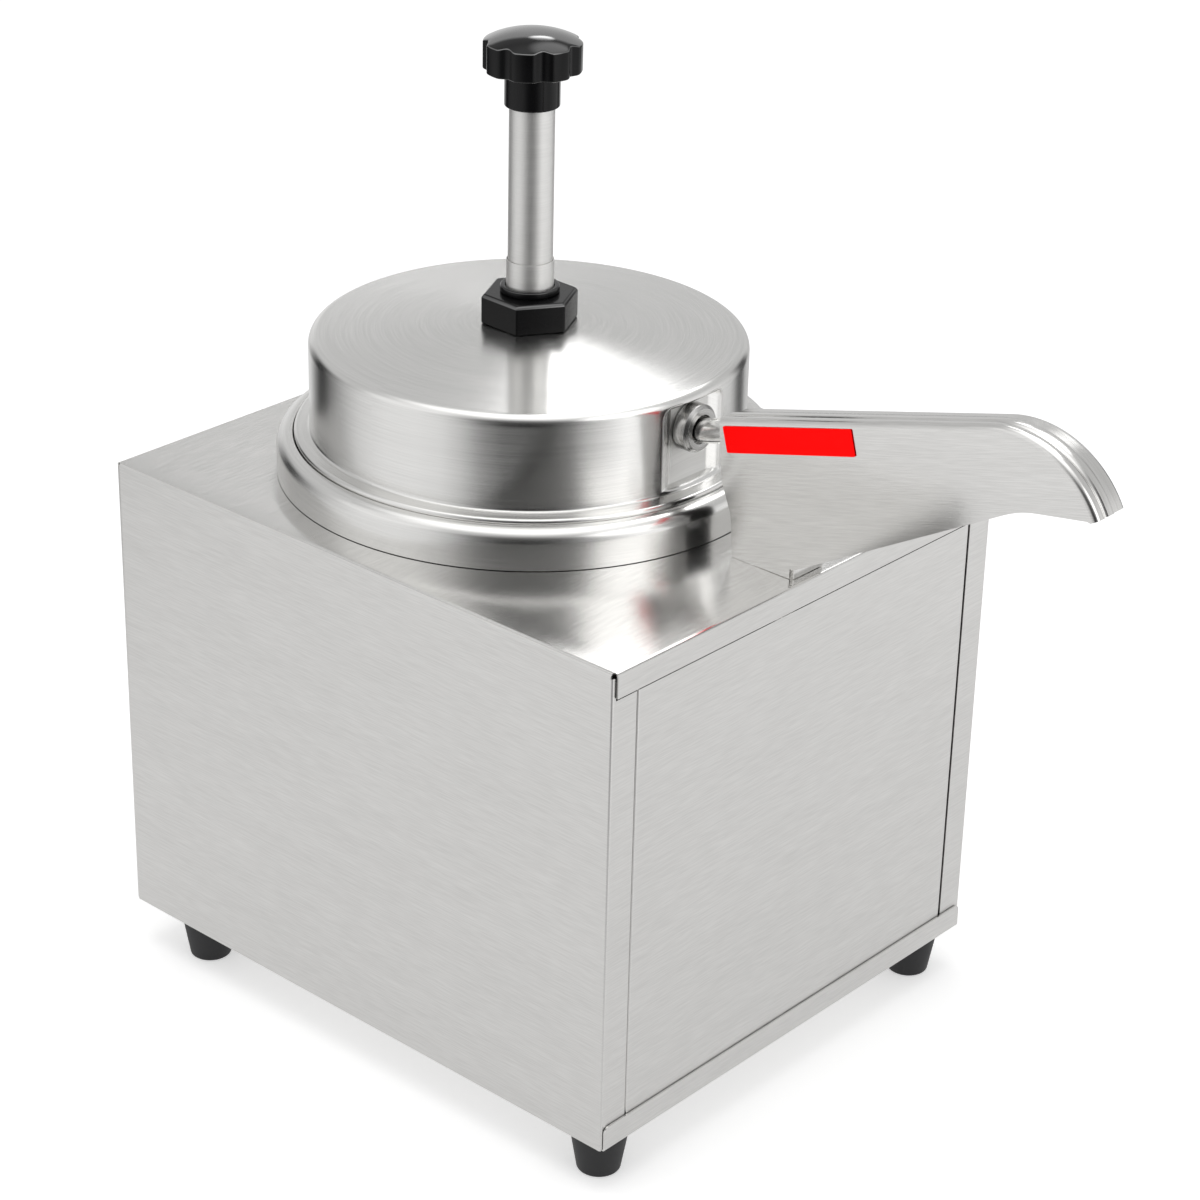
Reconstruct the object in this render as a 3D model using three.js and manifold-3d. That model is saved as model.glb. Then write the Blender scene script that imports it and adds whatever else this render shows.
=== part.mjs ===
// Hot fudge topping warmer: a box cabinet with a heated well, a lift-out pot, a lid that carries a
// plunger pump, and a spout that runs inside a covered shroud. Millimetres, +Z up. The spout points
// to -Y, the front. The origin is under the middle of the whole object, at the height of its feet.
import Module from "manifold-3d";
import * as THREE from "three";
import { mergeVertices } from "three/addons/utils/BufferGeometryUtils.js";

const wasm = await Module();
wasm.setup();

// Fits
const seat = 0.3;
const overrun = 5;

// Sides of the round pieces: those round the well share theirs, so their gaps stay even
const lidSides = 36;
const wellSides = 28;
const boreSides = 20;
const footSides = 12;
const screwSides = 8;
const tubeSides = 12;
const knobSides = 40;

// Cabinet
const sheet = 0.8;
const bendRadius = 2;
const flangeWidth = 15;
const panelGap = 0.8;
const panelReturn = 10;
const topBand = 11.3;
const topBandInset = 2.2;
const bottomBand = 11.7;
const bottomBandInset = 1.2;
const bandCornerRadius = 3;
const airSlotWidth = 12;
const airSlotLength = 20;
const airSlotSetback = 12;

// Feet and their screws
const footHeight = 23;
const footTopRadius = 13.4;
const footBottomRadius = 9.6;
const footEdge = 1.5;
const footSideInset = 16.7;
const footFrontInset = 16.5;
const footRearInset = 33.5;
const footRecessRadius = 5.2;
const footRecessDepth = 14;
const footScrewHeadRadius = 4.2;
const footScrewHeadHeight = 2.6;
const footScrewRadius = 2;
const footScrewStandOut = 4;

// Rear panel, its screws and vents
const rearScrewHeadRadius = 3.4;
const rearScrewHeadHeight = 2;
const rearScrewRadius = 1.6;
const rearScrewLength = 8;
const rearScrewEndInset = 34;
const ventWidth = 42;
const ventHeight = 4;
const ventPitch = 9;
const ventRows = 4;
const ventColumnOffset = 32;
const ventTopGap = 66;

// Well, collar and heating, and the spaces that the cabinet leaves round them
const wellFrontSpace = 58.2;
const wellRearSpace = 25.8;
const wellSideSpace = 19.5;
const wellUnderSpace = 41;
const panSideGap = 6;
const panWall = 0.8;
const panFlangeReach = 7;
const panCorner = 8;
const collarReach = 15.5;
const collarHeight = 18.4;
const collarWall = 1;
const collarMouthReach = 8.1;
const collarLedgeOverlap = 1.5;
const collarLedgeHeight = 12;
const heaterBandThickness = 3;
const heaterBandWidth = 50;
const heaterBandLift = 37;
const heaterPlateMargin = 27;
const heaterPlateThickness = 4;
const jacketThickness = 7.4;
const jacketTopGap = 8;
const jacketBottomGap = 2;

// Pot
const potRadius = 91;
const potWall = 0.9;
const potDepth = 170;
const potUnderGap = 17;
const potCorner = 10;
const potBeadRadius = 3.3;
const potBeadReach = 7.8;

// Lid
const lidSetIn = 7.5;
const lidWall = 1;
const lidShoulderHeight = 64;
const lidCrownHeight = 69.6;
const lidFillet = 4.6;
const lidFlatRadius = 26;
const brimClearance = 0.5;
const brimDrop = 7.2;
const brimSlopeRise = 0.7;
const brimEdge = 0.7;
const padDepth = 4.3;
const padWidth = 37.6;
const padTop = 59;
const padBottom = 22.6;
const padCornerRadius = 4;

// Nut, wiper, guide and rod
const nutCornerRadius = 22;
const nutHeight = 13.5;
const nutChamfer = 1.2;
const nutCapThickness = 1.1;
const nutTurn = THREE.MathUtils.degToRad(27.3);
const wiperRadius = 13.2;
const wiperHeight = 2.9;
const wiperChamfer = 0.9;
const rodRadius = 9.95;
const rodWall = 1.45;
const rodPlug = 4;
const rodStudRadius = 4;
const rodStudLength = 10;
const rodSocketDepth = 6;
const guideClearance = 0.25;
const guideWall = 0.35;
const guideTop = 98.5;
const guideBottom = -14;

// Knob
const knobRadius = 21.4;
const knobLobes = 8;
const knobScoopDepth = 3.2;
const knobScoopWidth = 7;
const knobTurn = THREE.MathUtils.degToRad(32.3);
const knobHubRadius = 11.9;
const knobHubHeight = 15.1;
const knobRimHeight = 12;
const knobRimRound = 1.6;
const knobDomeHeight = 4.9;
const knobStopGap = 2.2;

// Pump
const plungerStroke = 68;
const gasketThickness = 1;
const gasketRadius = 24;
const neckRadius = 15;
const neckClearance = 0.5;
const neckThread = 12.1;
const headFlangeThickness = 3;
const headHubRadius = 19;
const headHubLength = 28;
const headSocketRoof = 6;
const cylinderBore = 12.3;
const cylinderWall = 2;
const cylinderLift = 35.3;
const pistonRadius = 12;
const pistonHeight = 14;
const pistonSpigotHeight = 12;
const sealDepth = 1.6;
const sealHeight = 4.5;
const sealGap = 0.15;
const springRadius = 9.6;
const springWire = 1.6;
const springTurns = 11;
const valveRadius = 17.5;
const valveFloorGap = 4;
const valveSocketDepth = 12;
const chamberRadius = 9;
const chamberFloorRise = 14;
const inletSeatRadius = 4.5;
const inletBallRadius = 7;
const ballPinRadius = 1;
const ballPinDrop = 3.5;
const passageRadius = 3.5;
const passageRise = 19.5;
const branchOffset = 32;
const branchRadius = 10.5;
const branchRise = 6;
const outletChamberRadius = 7;
const outletSeatRise = 24;
const outletSeatRadius = 4;
const outletBallRadius = 6;
const riserRadius = 7;
const riserBore = 5.5;
const riserBend = 16;

// Spout
const fittingHeight = 47.2;
const fittingRadius = 9;
const fittingFlangeRadius = 13;
const fittingFlangeThickness = 2;
const fittingGasketThickness = 0.7;
const fittingHubRadius = 10;
const fittingHubLength = 5;
const stubRadius = 8.3;
const stubLength = 3.1;
const unionRadius = 10.7;
const unionLength = 6.4;
const unionShoulder = 2;
const unionChamfer = 1.2;
const tubeRadius = 5.5;
const tubeBore = 4.4;
const tubeFlangeRadius = 8;
const tubeFlangeThickness = 1;
const tubeLevelLength = 5.5;
const tubeEndTurn = THREE.MathUtils.degToRad(60);

// Shroud, its outline seen from the side as distances behind the cabinet's front face and above
// its deck
const shroudWidth = 21.2;
const shroudSheet = 0.7;
const shroudBend = 2.8;
const shroudRise = THREE.MathUtils.degToRad(16.4);
const shroudRearTopSetback = 48.1;
const shroudRearTopHeight = 58.3;
const shroudRearMidSetback = 44.9;
const shroudRearMidHeight = 33.3;
const shroudRearLowSetback = 39.2;
const shroudRearLowHeight = 18.9;
const shroudRearBottomSetback = 37.6;
const shroudStraight = 137.7;
const shroudNoseRadius = 48.6;
const shroudNoseTurn = THREE.MathUtils.degToRad(77.3);
const shroudToeSetback = 4.3;
const shroudToeHeight = 4.4;
const shroudToeNotch = 2;
const shroudMouthReach = 104.9;
const shroudMouthHeight = 66.9;
const shroudMouthRound = 8;
const shroudLipReach = 135.6;
const shroudLipHeight = 72.2;
const shroudLap = 4;
const shroudSeamOffset = 1;
const tubeToShroudGap = 0.6;
const stripLength = 69;
const stripWidth = 11.6;
const stripThickness = 0.3;
const stripRearGap = 2.2;
const stripTopGap = 3.6;

// Controls on the rear panel, placed from the cabinet's middle and its bottom
const dialRadius = 19;
const dialDepth = 16;
const dialSkirtDepth = 4;
const dialGripRadius = 14.5;
const dialBoreDepth = 10.5;
const dialSideInset = 53.5;
const dialHeight = 98;
const shaftRadius = 3;
const thermostatRadius = 16;
const thermostatDepth = 24;
const bulbRadius = 3;
const bulbLength = 60;
const bulbGap = 8;
const capillaryRadius = 0.9;
const switchSideInset = 49.5;
const switchHeight = 90;
const bezelWidth = 15;
const bezelHeight = 21;
const bezelThickness = 2;
const bezelWall = 1.6;
const switchDepth = 20;
const rockerClearance = 0.3;
const rockerLength = 14.6;
const rockerBack = 3;
const rockerCrest = 4.2;
const rockerDip = 3.2;
const rockerRest = THREE.MathUtils.degToRad(10);
const lampRise = 29;
const lampRadius = 5.7;
const lampBezelRadius = 8;
const lampDepth = 14;
const lampStandOut = 5;
const glandHeight = 33;
const glandRadius = 11;
const glandThreadRadius = 7.7;
const glandThreadLength = 12;
const glandStandOut = 14;
const glandBore = 4;
const terminalLength = 30;
const terminalDepth = 18;
const terminalHeight = 13;
const terminalToSwitch = 34;
const terminalSetback = 40;
const wireRadius = 1.2;
const wireSag = 14;

// Sizes that follow from the ones above
const panRadius = potRadius + panSideGap;
const panFlangeRadius = panRadius + panFlangeReach;
const collarRadius = panRadius + collarReach;
const collarMouthRadius = panRadius + collarMouthReach;
const collarLedgeRadius = panRadius - collarLedgeOverlap;
const heaterPlateRadius = panRadius - heaterPlateMargin;
const potBeadCentreRadius = potRadius + potBeadReach;
const lidRadius = collarMouthRadius - lidSetIn;
const padDistance = lidRadius - padDepth;
const jacketInner = panRadius + seat + heaterBandThickness + seat;
const jacketOuter = jacketInner + jacketThickness;
const panDepth = potDepth + potUnderGap;
const wellSetback = wellFrontSpace + jacketOuter;
const cabinetWidth = 2 * (jacketOuter + wellSideSpace);
const cabinetDepth = wellSetback + jacketOuter + wellRearSpace;
const cabinetHeight = panDepth + wellUnderSpace;
const halfWidth = cabinetWidth / 2;
const flangeFace = sheet + seat;
const rearFlangeFace = cabinetDepth - sheet - seat;
const panelBack = cabinetDepth - sheet;
const deckHoleRadius = panRadius + seat;
const brimRadius = collarMouthRadius - brimClearance;
const beadCentreHeight = collarLedgeHeight + seat + potBeadRadius;
const brimHeight = beadCentreHeight + potBeadRadius + seat;
const lidHoleRadius = neckRadius + neckClearance;
const fittingHoleRadius = fittingRadius + seat;
const nutBottom = lidCrownHeight + seat;
const nutTop = nutBottom + nutHeight;
const guideInner = rodRadius + guideClearance;
const guideOuter = guideInner + guideWall;
const gasketTop = lidCrownHeight - lidWall - seat;
const headTop = gasketTop - gasketThickness - seat;
const headUnder = headTop - headFlangeThickness;
const headBore = guideOuter + seat;
const neckTop = nutBottom + neckThread;
const cylinderOuter = cylinderBore + cylinderWall;
const cylinderTop = headUnder - headSocketRoof - seat;
const valveBottom = valveFloorGap - potDepth;
const branchBottom = valveBottom + branchRise;
const chamberFloor = valveBottom + chamberFloorRise;
const passageHeight = valveBottom + passageRise;
const outletSeatHeight = valveBottom + outletSeatRise;
const cylinderBottom = valveBottom + cylinderLift;
const valveTop = cylinderBottom - seat + valveSocketDepth;
const pistonTop = guideBottom - seat;
const pistonBottom = pistonTop - pistonHeight;
const knobHubBottom = guideTop + plungerStroke + knobStopGap;
const rodTop = knobHubBottom + rodSocketDepth;
const knobRimBottom = knobHubBottom + knobHubHeight;
const padBack = padDistance - lidWall;
const fittingFlangeFace = padBack - seat - fittingGasketThickness - seat;
const stubEnd = padDistance + stubLength;
const unionStart = padDistance + seat;
const unionEnd = unionStart + unionLength;
const tubeFlangeStart = stubEnd + seat;
const halfShroud = shroudWidth / 2;
const lampHeight = switchHeight + lampRise;
const bulbOffset = heaterPlateRadius + bulbGap;
const dialOffset = halfWidth - dialSideInset;
const switchOffset = switchSideInset - halfWidth;
const terminalOffset = switchOffset + terminalToSwitch;
const dialFace = cabinetDepth + seat;
const rearReach = dialFace + dialDepth;

// Materials
function finish(color, roughness, metalness) {
  return new THREE.MeshStandardMaterial({ color, roughness, metalness });
}
const brushedSteel = finish(0xc9c7c3, 0.35, 1);
const polishedSteel = finish(0xd6d4d0, 0.18, 1);
const hiddenSteel = finish(0xb0aeaa, 0.5, 1);
const blackPlastic = finish(0x0b0b0c, 0.22, 0);
const nutPlastic = finish(0x151516, 0.4, 0);
const rubber = finish(0x101011, 0.75, 0);
const whitePlastic = finish(0xe4e1d8, 0.5, 0);
const silicone = finish(0xc8c4b8, 0.6, 0);
const redFilm = finish(0xd90f0f, 0.45, 0);
const lampPlastic = finish(0xe06a10, 0.25, 0);
const woolFelt = finish(0xd8d2c0, 0.95, 0);
const copper = finish(0xb87348, 0.35, 1);
const blueWire = finish(0x2c5aa8, 0.5, 0);
const brownWire = finish(0x6b3d22, 0.5, 0);

// Geometry helpers
function closed(geometry) {
  let merged = geometry.clone();
  merged.deleteAttribute("normal");
  merged.deleteAttribute("uv");
  merged.clearGroups();
  merged = mergeVertices(merged);
  const position = merged.getAttribute("position");
  const kept = [];
  let volume = 0;
  const [a, b, c] = [new THREE.Vector3(), new THREE.Vector3(), new THREE.Vector3()];
  for (let i = 0; i < merged.index.count; i += 3) {
    const corner = [0, 1, 2].map((k) => merged.index.getX(i + k));
    if (new Set(corner).size < corner.length) continue;
    kept.push(...corner);
    a.fromBufferAttribute(position, corner[0]);
    b.fromBufferAttribute(position, corner[1]);
    c.fromBufferAttribute(position, corner[2]);
    volume += a.dot(b.cross(c));
  }
  if (volume < 0) kept.reverse();
  merged.setIndex(kept);
  return merged;
}

function toSolid(geometry) {
  const shape = closed(geometry);
  const vertProperties = new Float32Array(shape.getAttribute("position").array);
  const triVerts = new Uint32Array(shape.index.array);
  return new wasm.Manifold(new wasm.Mesh({ numProp: 3, vertProperties, triVerts }));
}

function toGeometry(solid) {
  const mesh = solid.getMesh();
  const geometry = new THREE.BufferGeometry();
  geometry.setAttribute("position", new THREE.BufferAttribute(mesh.vertProperties, mesh.numProp));
  geometry.setIndex(new THREE.BufferAttribute(mesh.triVerts, 1));
  return geometry;
}

function join(...parts) {
  return toGeometry(parts.map(toSolid).reduce((sum, part) => sum.add(part)));
}

function cut(base, ...tools) {
  return toGeometry(tools.map(toSolid).reduce((rest, tool) => rest.subtract(tool), toSolid(base)));
}

function common(first, second) {
  return toGeometry(toSolid(first).intersect(toSolid(second)));
}

function block(x, y, z) {
  const geometry = new THREE.BoxGeometry(x[1] - x[0], y[1] - y[0], z[1] - z[0]);
  return geometry.translate((x[0] + x[1]) / 2, (y[0] + y[1]) / 2, (z[0] + z[1]) / 2);
}

// An outline of [radius, height] pairs turned about the Z axis; it closes on itself unless it
// starts and ends on the axis.
function turned(outline, sides = 32) {
  const points = outline.map(([radius, height]) => new THREE.Vector2(radius, height));
  const onAxis = points[0].x === 0 && points[points.length - 1].x === 0;
  if (!onAxis) points.push(points[0].clone());
  return closed(new THREE.LatheGeometry(points, sides).rotateX(Math.PI / 2));
}

// The same, turned about a line along Y: heights run towards +Y, or towards -Y when forward.
function turnedAlongY(outline, sides, forward = false) {
  return turned(outline, sides).rotateX(forward ? Math.PI / 2 : -Math.PI / 2);
}

function shapeOf(points, holes = []) {
  const shape = new THREE.Shape(points.map(([u, v]) => new THREE.Vector2(u, v)));
  for (const hole of holes) shape.holes.push(new THREE.Path(hole.map(([u, v]) => new THREE.Vector2(u, v))));
  return shape;
}

function extruded(points, depth, holes) {
  return new THREE.ExtrudeGeometry(shapeOf(points, holes), { depth, bevelEnabled: false });
}

// Outlines pushed along one axis. Along X they hold [y, z] pairs, along Y [x, z], along Z [x, y].
function alongX(points, from, to) {
  const turn = new THREE.Matrix4().makeBasis(
    new THREE.Vector3(0, 1, 0),
    new THREE.Vector3(0, 0, 1),
    new THREE.Vector3(1, 0, 0),
  );
  return extruded(points, to - from).applyMatrix4(turn).translate(from, 0, 0);
}
function alongY(points, from, to, holes) {
  return extruded(points, to - from, holes).rotateX(Math.PI / 2).translate(0, to, 0);
}
function alongZ(points, from, to, holes) {
  return extruded(points, to - from, holes).translate(0, 0, from);
}

function arc(u, v, radius, from, to, steps) {
  const points = [];
  for (let i = 0; i <= steps; i += 1) {
    const angle = from + ((to - from) * i) / steps;
    points.push([u + radius * Math.cos(angle), v + radius * Math.sin(angle)]);
  }
  return points;
}

const right = 0;
const up = Math.PI / 2;
const left = Math.PI;
const down = -Math.PI / 2;

function rectangle(u, v, radius = 0, steps = 3) {
  if (radius === 0) return [[u[0], v[0]], [u[1], v[0]], [u[1], v[1]], [u[0], v[1]]];
  return [
    ...arc(u[1] - radius, v[0] + radius, radius, down, right, steps),
    ...arc(u[1] - radius, v[1] - radius, radius, right, up, steps),
    ...arc(u[0] + radius, v[1] - radius, radius, up, left, steps),
    ...arc(u[0] + radius, v[0] + radius, radius, left, left - down, steps),
  ];
}

function ring(radius, sides) {
  return arc(0, 0, radius, 0, 2 * Math.PI * (1 - 1 / sides), sides - 1);
}

function pipe(path, radius, { bore = 0, sides = 12, steps }) {
  const holes = bore > 0 ? [ring(bore, sides)] : [];
  const section = shapeOf(ring(radius, sides), holes);
  return closed(new THREE.ExtrudeGeometry(section, { steps, extrudePath: path, bevelEnabled: false }));
}

function smooth(points) {
  return new THREE.CatmullRomCurve3(points.map((p) => new THREE.Vector3(...p)), false, "centripetal");
}

const warmer = new THREE.Group();
const cabinet = new THREE.Group();
const well = new THREE.Group();
cabinet.position.z = footHeight;
well.position.set(0, wellSetback, cabinetHeight);
warmer.position.y = (shroudTipReach() - rearReach) / 2;
cabinet.add(well);
warmer.add(cabinet);

function place(parent, name, geometry, material) {
  const mesh = new THREE.Mesh(geometry, material);
  mesh.name = name;
  parent.add(mesh);
  return mesh;
}

// Cabinet wrap: left side, deck and right side in one sheet
const arch = (half, top, radius) => [
  [-half, 0],
  ...arc(-half + radius, top - radius, radius, left, up, 3),
  ...arc(half - radius, top - radius, radius, up, right, 3),
  [half, 0],
];
const wrapSection = [
  ...arch(halfWidth, cabinetHeight, bendRadius),
  ...arch(halfWidth - sheet, cabinetHeight - sheet, bendRadius - sheet).reverse(),
];
const sideFlange = (side, y, z) =>
  block([side * halfWidth, side * (halfWidth - flangeWidth)].sort((a, b) => a - b), y, z);
const frontFlangeY = [flangeFace, flangeFace + sheet];
const rearFlangeY = [rearFlangeFace - sheet, rearFlangeFace];
const frontFlangeZ = [sheet + seat, cabinetHeight];
const rearFlangeZ = [bottomBand + seat, cabinetHeight];
const flangeLimit = alongY(
  arch(halfWidth - sheet / 2, cabinetHeight - sheet / 2, bendRadius - sheet / 2),
  -overrun,
  cabinetDepth,
);
const flanges = common(
  join(
    sideFlange(-1, frontFlangeY, frontFlangeZ),
    sideFlange(1, frontFlangeY, frontFlangeZ),
    sideFlange(-1, rearFlangeY, rearFlangeZ),
    sideFlange(1, rearFlangeY, rearFlangeZ),
    block([-halfWidth, halfWidth], rearFlangeY, [cabinetHeight - flangeWidth, cabinetHeight]),
  ),
  flangeLimit,
);
const wrapBody = join(alongY(wrapSection, flangeFace, rearFlangeFace), flanges);
const deckBandSection = [
  [0, cabinetHeight - topBand],
  [sheet, cabinetHeight - topBand],
  ...arc(flangeFace, cabinetHeight - flangeFace, seat, left, up, 2),
  [flangeFace + bendRadius, cabinetHeight - sheet],
  [flangeFace + bendRadius, cabinetHeight],
  ...arc(flangeFace, cabinetHeight - flangeFace, flangeFace, up, left, 3),
];
const deckBand = alongX(deckBandSection, -halfWidth + topBandInset, halfWidth - topBandInset);
const deckHole = alongZ(ring(deckHoleRadius, wellSides), cabinetHeight - overrun, cabinetHeight + overrun);
deckHole.translate(0, wellSetback, 0);
const airSlot = block(
  [-airSlotWidth / 2, airSlotWidth / 2],
  [airSlotSetback, airSlotSetback + airSlotLength],
  [cabinetHeight - overrun, cabinetHeight + overrun],
);
const rearScrewX = halfWidth - flangeWidth / 2;
const rearScrewPlaces = [
  [-rearScrewX, rearScrewEndInset],
  [rearScrewX, rearScrewEndInset],
  [-rearScrewX, cabinetHeight - rearScrewEndInset],
  [rearScrewX, cabinetHeight - rearScrewEndInset],
];
const rearHole = (x, z, radius, sides = screwSides) =>
  alongY(ring(radius, sides), rearFlangeFace - sheet - overrun, cabinetDepth + overrun).translate(x, 0, z);
const rearScrewHoles = rearScrewPlaces.map(([x, z]) => rearHole(x, z, rearScrewRadius + seat));
place(cabinet, "cabinet_wrap", cut(join(wrapBody, deckBand), deckHole, airSlot, ...rearScrewHoles), brushedSteel);

// Base tray, its front flange lapped over the wrap's front flanges
const trayHalf = halfWidth - sheet - seat;
const trayFlangeY = [flangeFace + sheet + seat, rearFlangeFace - sheet];
const trayBand = alongY(
  [
    [-halfWidth + bottomBandInset, 0],
    [halfWidth - bottomBandInset, 0],
    ...arc(
      halfWidth - bottomBandInset - bandCornerRadius,
      bottomBand - bandCornerRadius,
      bandCornerRadius,
      right,
      up,
      3,
    ),
    ...arc(
      -halfWidth + bottomBandInset + bandCornerRadius,
      bottomBand - bandCornerRadius,
      bandCornerRadius,
      up,
      left,
      3,
    ),
  ],
  0,
  sheet,
);
const footPlaces = {
  front_left: [-halfWidth + footSideInset, footFrontInset],
  front_right: [halfWidth - footSideInset, footFrontInset],
  rear_left: [-halfWidth + footSideInset, cabinetDepth - footRearInset],
  rear_right: [halfWidth - footSideInset, cabinetDepth - footRearInset],
};
const trayHoles = Object.values(footPlaces).map(([x, y]) =>
  alongZ(ring(footScrewRadius + seat, screwSides), -overrun, overrun).translate(x, y, 0),
);
const baseTray = join(
  block([-trayHalf, trayHalf], [0, rearFlangeFace], [0, sheet]),
  trayBand,
  block([-trayHalf, -trayHalf + sheet], trayFlangeY, [0, bottomBand]),
  block([trayHalf - sheet, trayHalf], trayFlangeY, [0, bottomBand]),
  block([-trayHalf, trayHalf], [rearFlangeFace - sheet, rearFlangeFace], [0, bottomBand]),
);
place(cabinet, "base_tray", cut(baseTray, ...trayHoles), brushedSteel);

// Front panel: a shallow pan between the front flanges
const panelHalf = halfWidth - flangeWidth - panelGap;
const panelZ = [sheet + seat, cabinetHeight - bendRadius - seat];
const panelPan = cut(
  block([-panelHalf, panelHalf], [flangeFace, flangeFace + panelReturn], panelZ),
  block(
    [-panelHalf + sheet, panelHalf - sheet],
    [flangeFace + sheet, flangeFace + panelReturn + overrun],
    [panelZ[0] + sheet, panelZ[1] - sheet],
  ),
);
place(cabinet, "front_panel", panelPan, brushedSteel);

// Rear panel with vents and the holes for the controls
const vents = [];
for (const column of [-1, 0, 1]) {
  for (let row = 0; row < ventRows; row += 1) {
    const x = column * (ventColumnOffset + ventWidth / 2 - ventPitch);
    const z = cabinetHeight - ventTopGap + row * ventPitch;
    vents.push(
      block(
        [x - ventWidth / 2, x + ventWidth / 2],
        [panelBack - overrun, cabinetDepth + overrun],
        [z, z + ventHeight],
      ),
    );
  }
}
const bezelHole = block(
  [switchOffset - bezelWidth / 2 + bezelWall - seat, switchOffset + bezelWidth / 2 - bezelWall + seat],
  [panelBack - overrun, cabinetDepth + overrun],
  [switchHeight - bezelHeight / 2 + bezelWall - seat, switchHeight + bezelHeight / 2 - bezelWall + seat],
);
const rearPanel = cut(
  block([-trayHalf, trayHalf], [panelBack, cabinetDepth], [0, cabinetHeight - sheet - seat]),
  bezelHole,
  rearHole(dialOffset, dialHeight, shaftRadius + seat, footSides),
  rearHole(switchOffset, lampHeight, lampRadius + seat, footSides),
  rearHole(switchOffset, glandHeight, glandThreadRadius + seat, footSides),
  ...rearScrewHoles,
  ...vents,
);
place(cabinet, "rear_panel", rearPanel, brushedSteel);
rearScrewPlaces.forEach(([x, z], i) => {
  const screw = turnedAlongY(
    [
      [0, -rearScrewLength],
      [rearScrewRadius, -rearScrewLength],
      [rearScrewRadius, seat],
      [rearScrewHeadRadius, seat],
      [rearScrewHeadRadius, seat + rearScrewHeadHeight / 2],
      [rearScrewHeadRadius / 2, seat + rearScrewHeadHeight],
      [0, seat + rearScrewHeadHeight],
    ],
    screwSides,
  );
  place(cabinet, `rear_screw_${i + 1}`, screw, polishedSteel).position.set(x, cabinetDepth, z);
});

// Feet, each held by a screw up through its middle
const footOutline = [
  [footRecessRadius, -footHeight],
  ...arc(footBottomRadius - footEdge, footEdge - footHeight, footEdge, down, right, 2),
  [footTopRadius, -seat],
  [footScrewRadius + seat, -seat],
  [footScrewRadius + seat, footRecessDepth - footHeight],
  [footRecessRadius, footRecessDepth - footHeight],
];
const footScrewSeat = footRecessDepth - footHeight - seat;
const footScrewOutline = [
  [0, footScrewSeat - footScrewHeadHeight],
  [footScrewHeadRadius, footScrewSeat - footScrewHeadHeight],
  [footScrewHeadRadius, footScrewSeat],
  [footScrewRadius, footScrewSeat],
  [footScrewRadius, sheet + footScrewStandOut],
  [0, sheet + footScrewStandOut],
];
for (const [corner, [x, y]] of Object.entries(footPlaces)) {
  place(cabinet, `foot_${corner}`, turned(footOutline, footSides), rubber).position.set(x, y, 0);
  place(cabinet, `foot_screw_${corner}`, turned(footScrewOutline, screwSides), polishedSteel).position.set(x, y, 0);
}

// Well pan, hung from the deck by its flange
const panOutline = [
  [0, -panDepth],
  ...arc(panRadius - panCorner, panCorner - panDepth, panCorner, down, right, 2),
  [panRadius, seat],
  [panFlangeRadius, seat],
  [panFlangeRadius, seat + panWall],
  [panRadius - panWall, seat + panWall],
  ...arc(panRadius - panCorner, panCorner - panDepth, panCorner - panWall, right, down, 2),
  [0, panWall - panDepth],
];
place(well, "well_pan", turned(panOutline, wellSides), hiddenSteel);

// Deck collar with its rounded shoulder, mouth and the ledge that the pot hangs from
const shoulderRadius = collarRadius - collarMouthRadius - collarWall;
const shoulderCentre = [collarMouthRadius + collarWall, collarHeight - shoulderRadius];
const collarOutline = [
  [collarRadius, seat],
  ...arc(...shoulderCentre, shoulderRadius, right, up, 3),
  [collarMouthRadius, collarHeight],
  [collarMouthRadius, collarLedgeHeight],
  [collarLedgeRadius, collarLedgeHeight],
  [collarLedgeRadius, collarLedgeHeight - collarWall],
  [collarMouthRadius + collarWall, collarLedgeHeight - collarWall],
  ...arc(...shoulderCentre, shoulderRadius - collarWall, up, right, 3),
  [collarRadius - collarWall, seat],
];
place(well, "deck_collar", turned(collarOutline, lidSides), polishedSteel);

// Heating under the deck: a band round the pan, a plate under it and a felt jacket
const bandZ = [heaterBandLift - panDepth, heaterBandLift + heaterBandWidth - panDepth];
const hoop = (inner, outer, [low, high]) => [[inner, low], [outer, low], [outer, high], [inner, high]];
const heaterBand = hoop(panRadius + seat, panRadius + seat + heaterBandThickness, bandZ);
place(well, "heater_band", turned(heaterBand, wellSides), silicone);
const plateZ = [-panDepth - seat - heaterPlateThickness, -panDepth - seat];
const heaterPlate = alongZ(ring(heaterPlateRadius, wellSides), ...plateZ);
place(well, "heater_plate", heaterPlate, hiddenSteel);
const jacketZ = [jacketBottomGap - panDepth, -jacketTopGap];
place(well, "insulation_jacket", turned(hoop(jacketInner, jacketOuter, jacketZ), wellSides), woolFelt);

// Topping pot with its rolled rim
const potInner = potRadius - potWall;
const rimUnder = beadCentreHeight - potWall / 2;
const rimTop = beadCentreHeight + potWall / 2;
const rimAngle = Math.asin(potWall / 2 / potBeadRadius);
const potOutline = [
  [0, -potDepth],
  ...arc(potRadius - potCorner, potCorner - potDepth, potCorner, down, right, 2),
  [potRadius, rimUnder],
  ...arc(potBeadCentreRadius, beadCentreHeight, potBeadRadius, left + rimAngle, 3 * left - rimAngle, 7),
  [potInner, rimTop],
  ...arc(potRadius - potCorner, potCorner - potDepth, potCorner - potWall, right, down, 2),
  [0, potWall - potDepth],
];
place(well, "topping_pot", turned(potOutline, wellSides), hiddenSteel);

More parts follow.
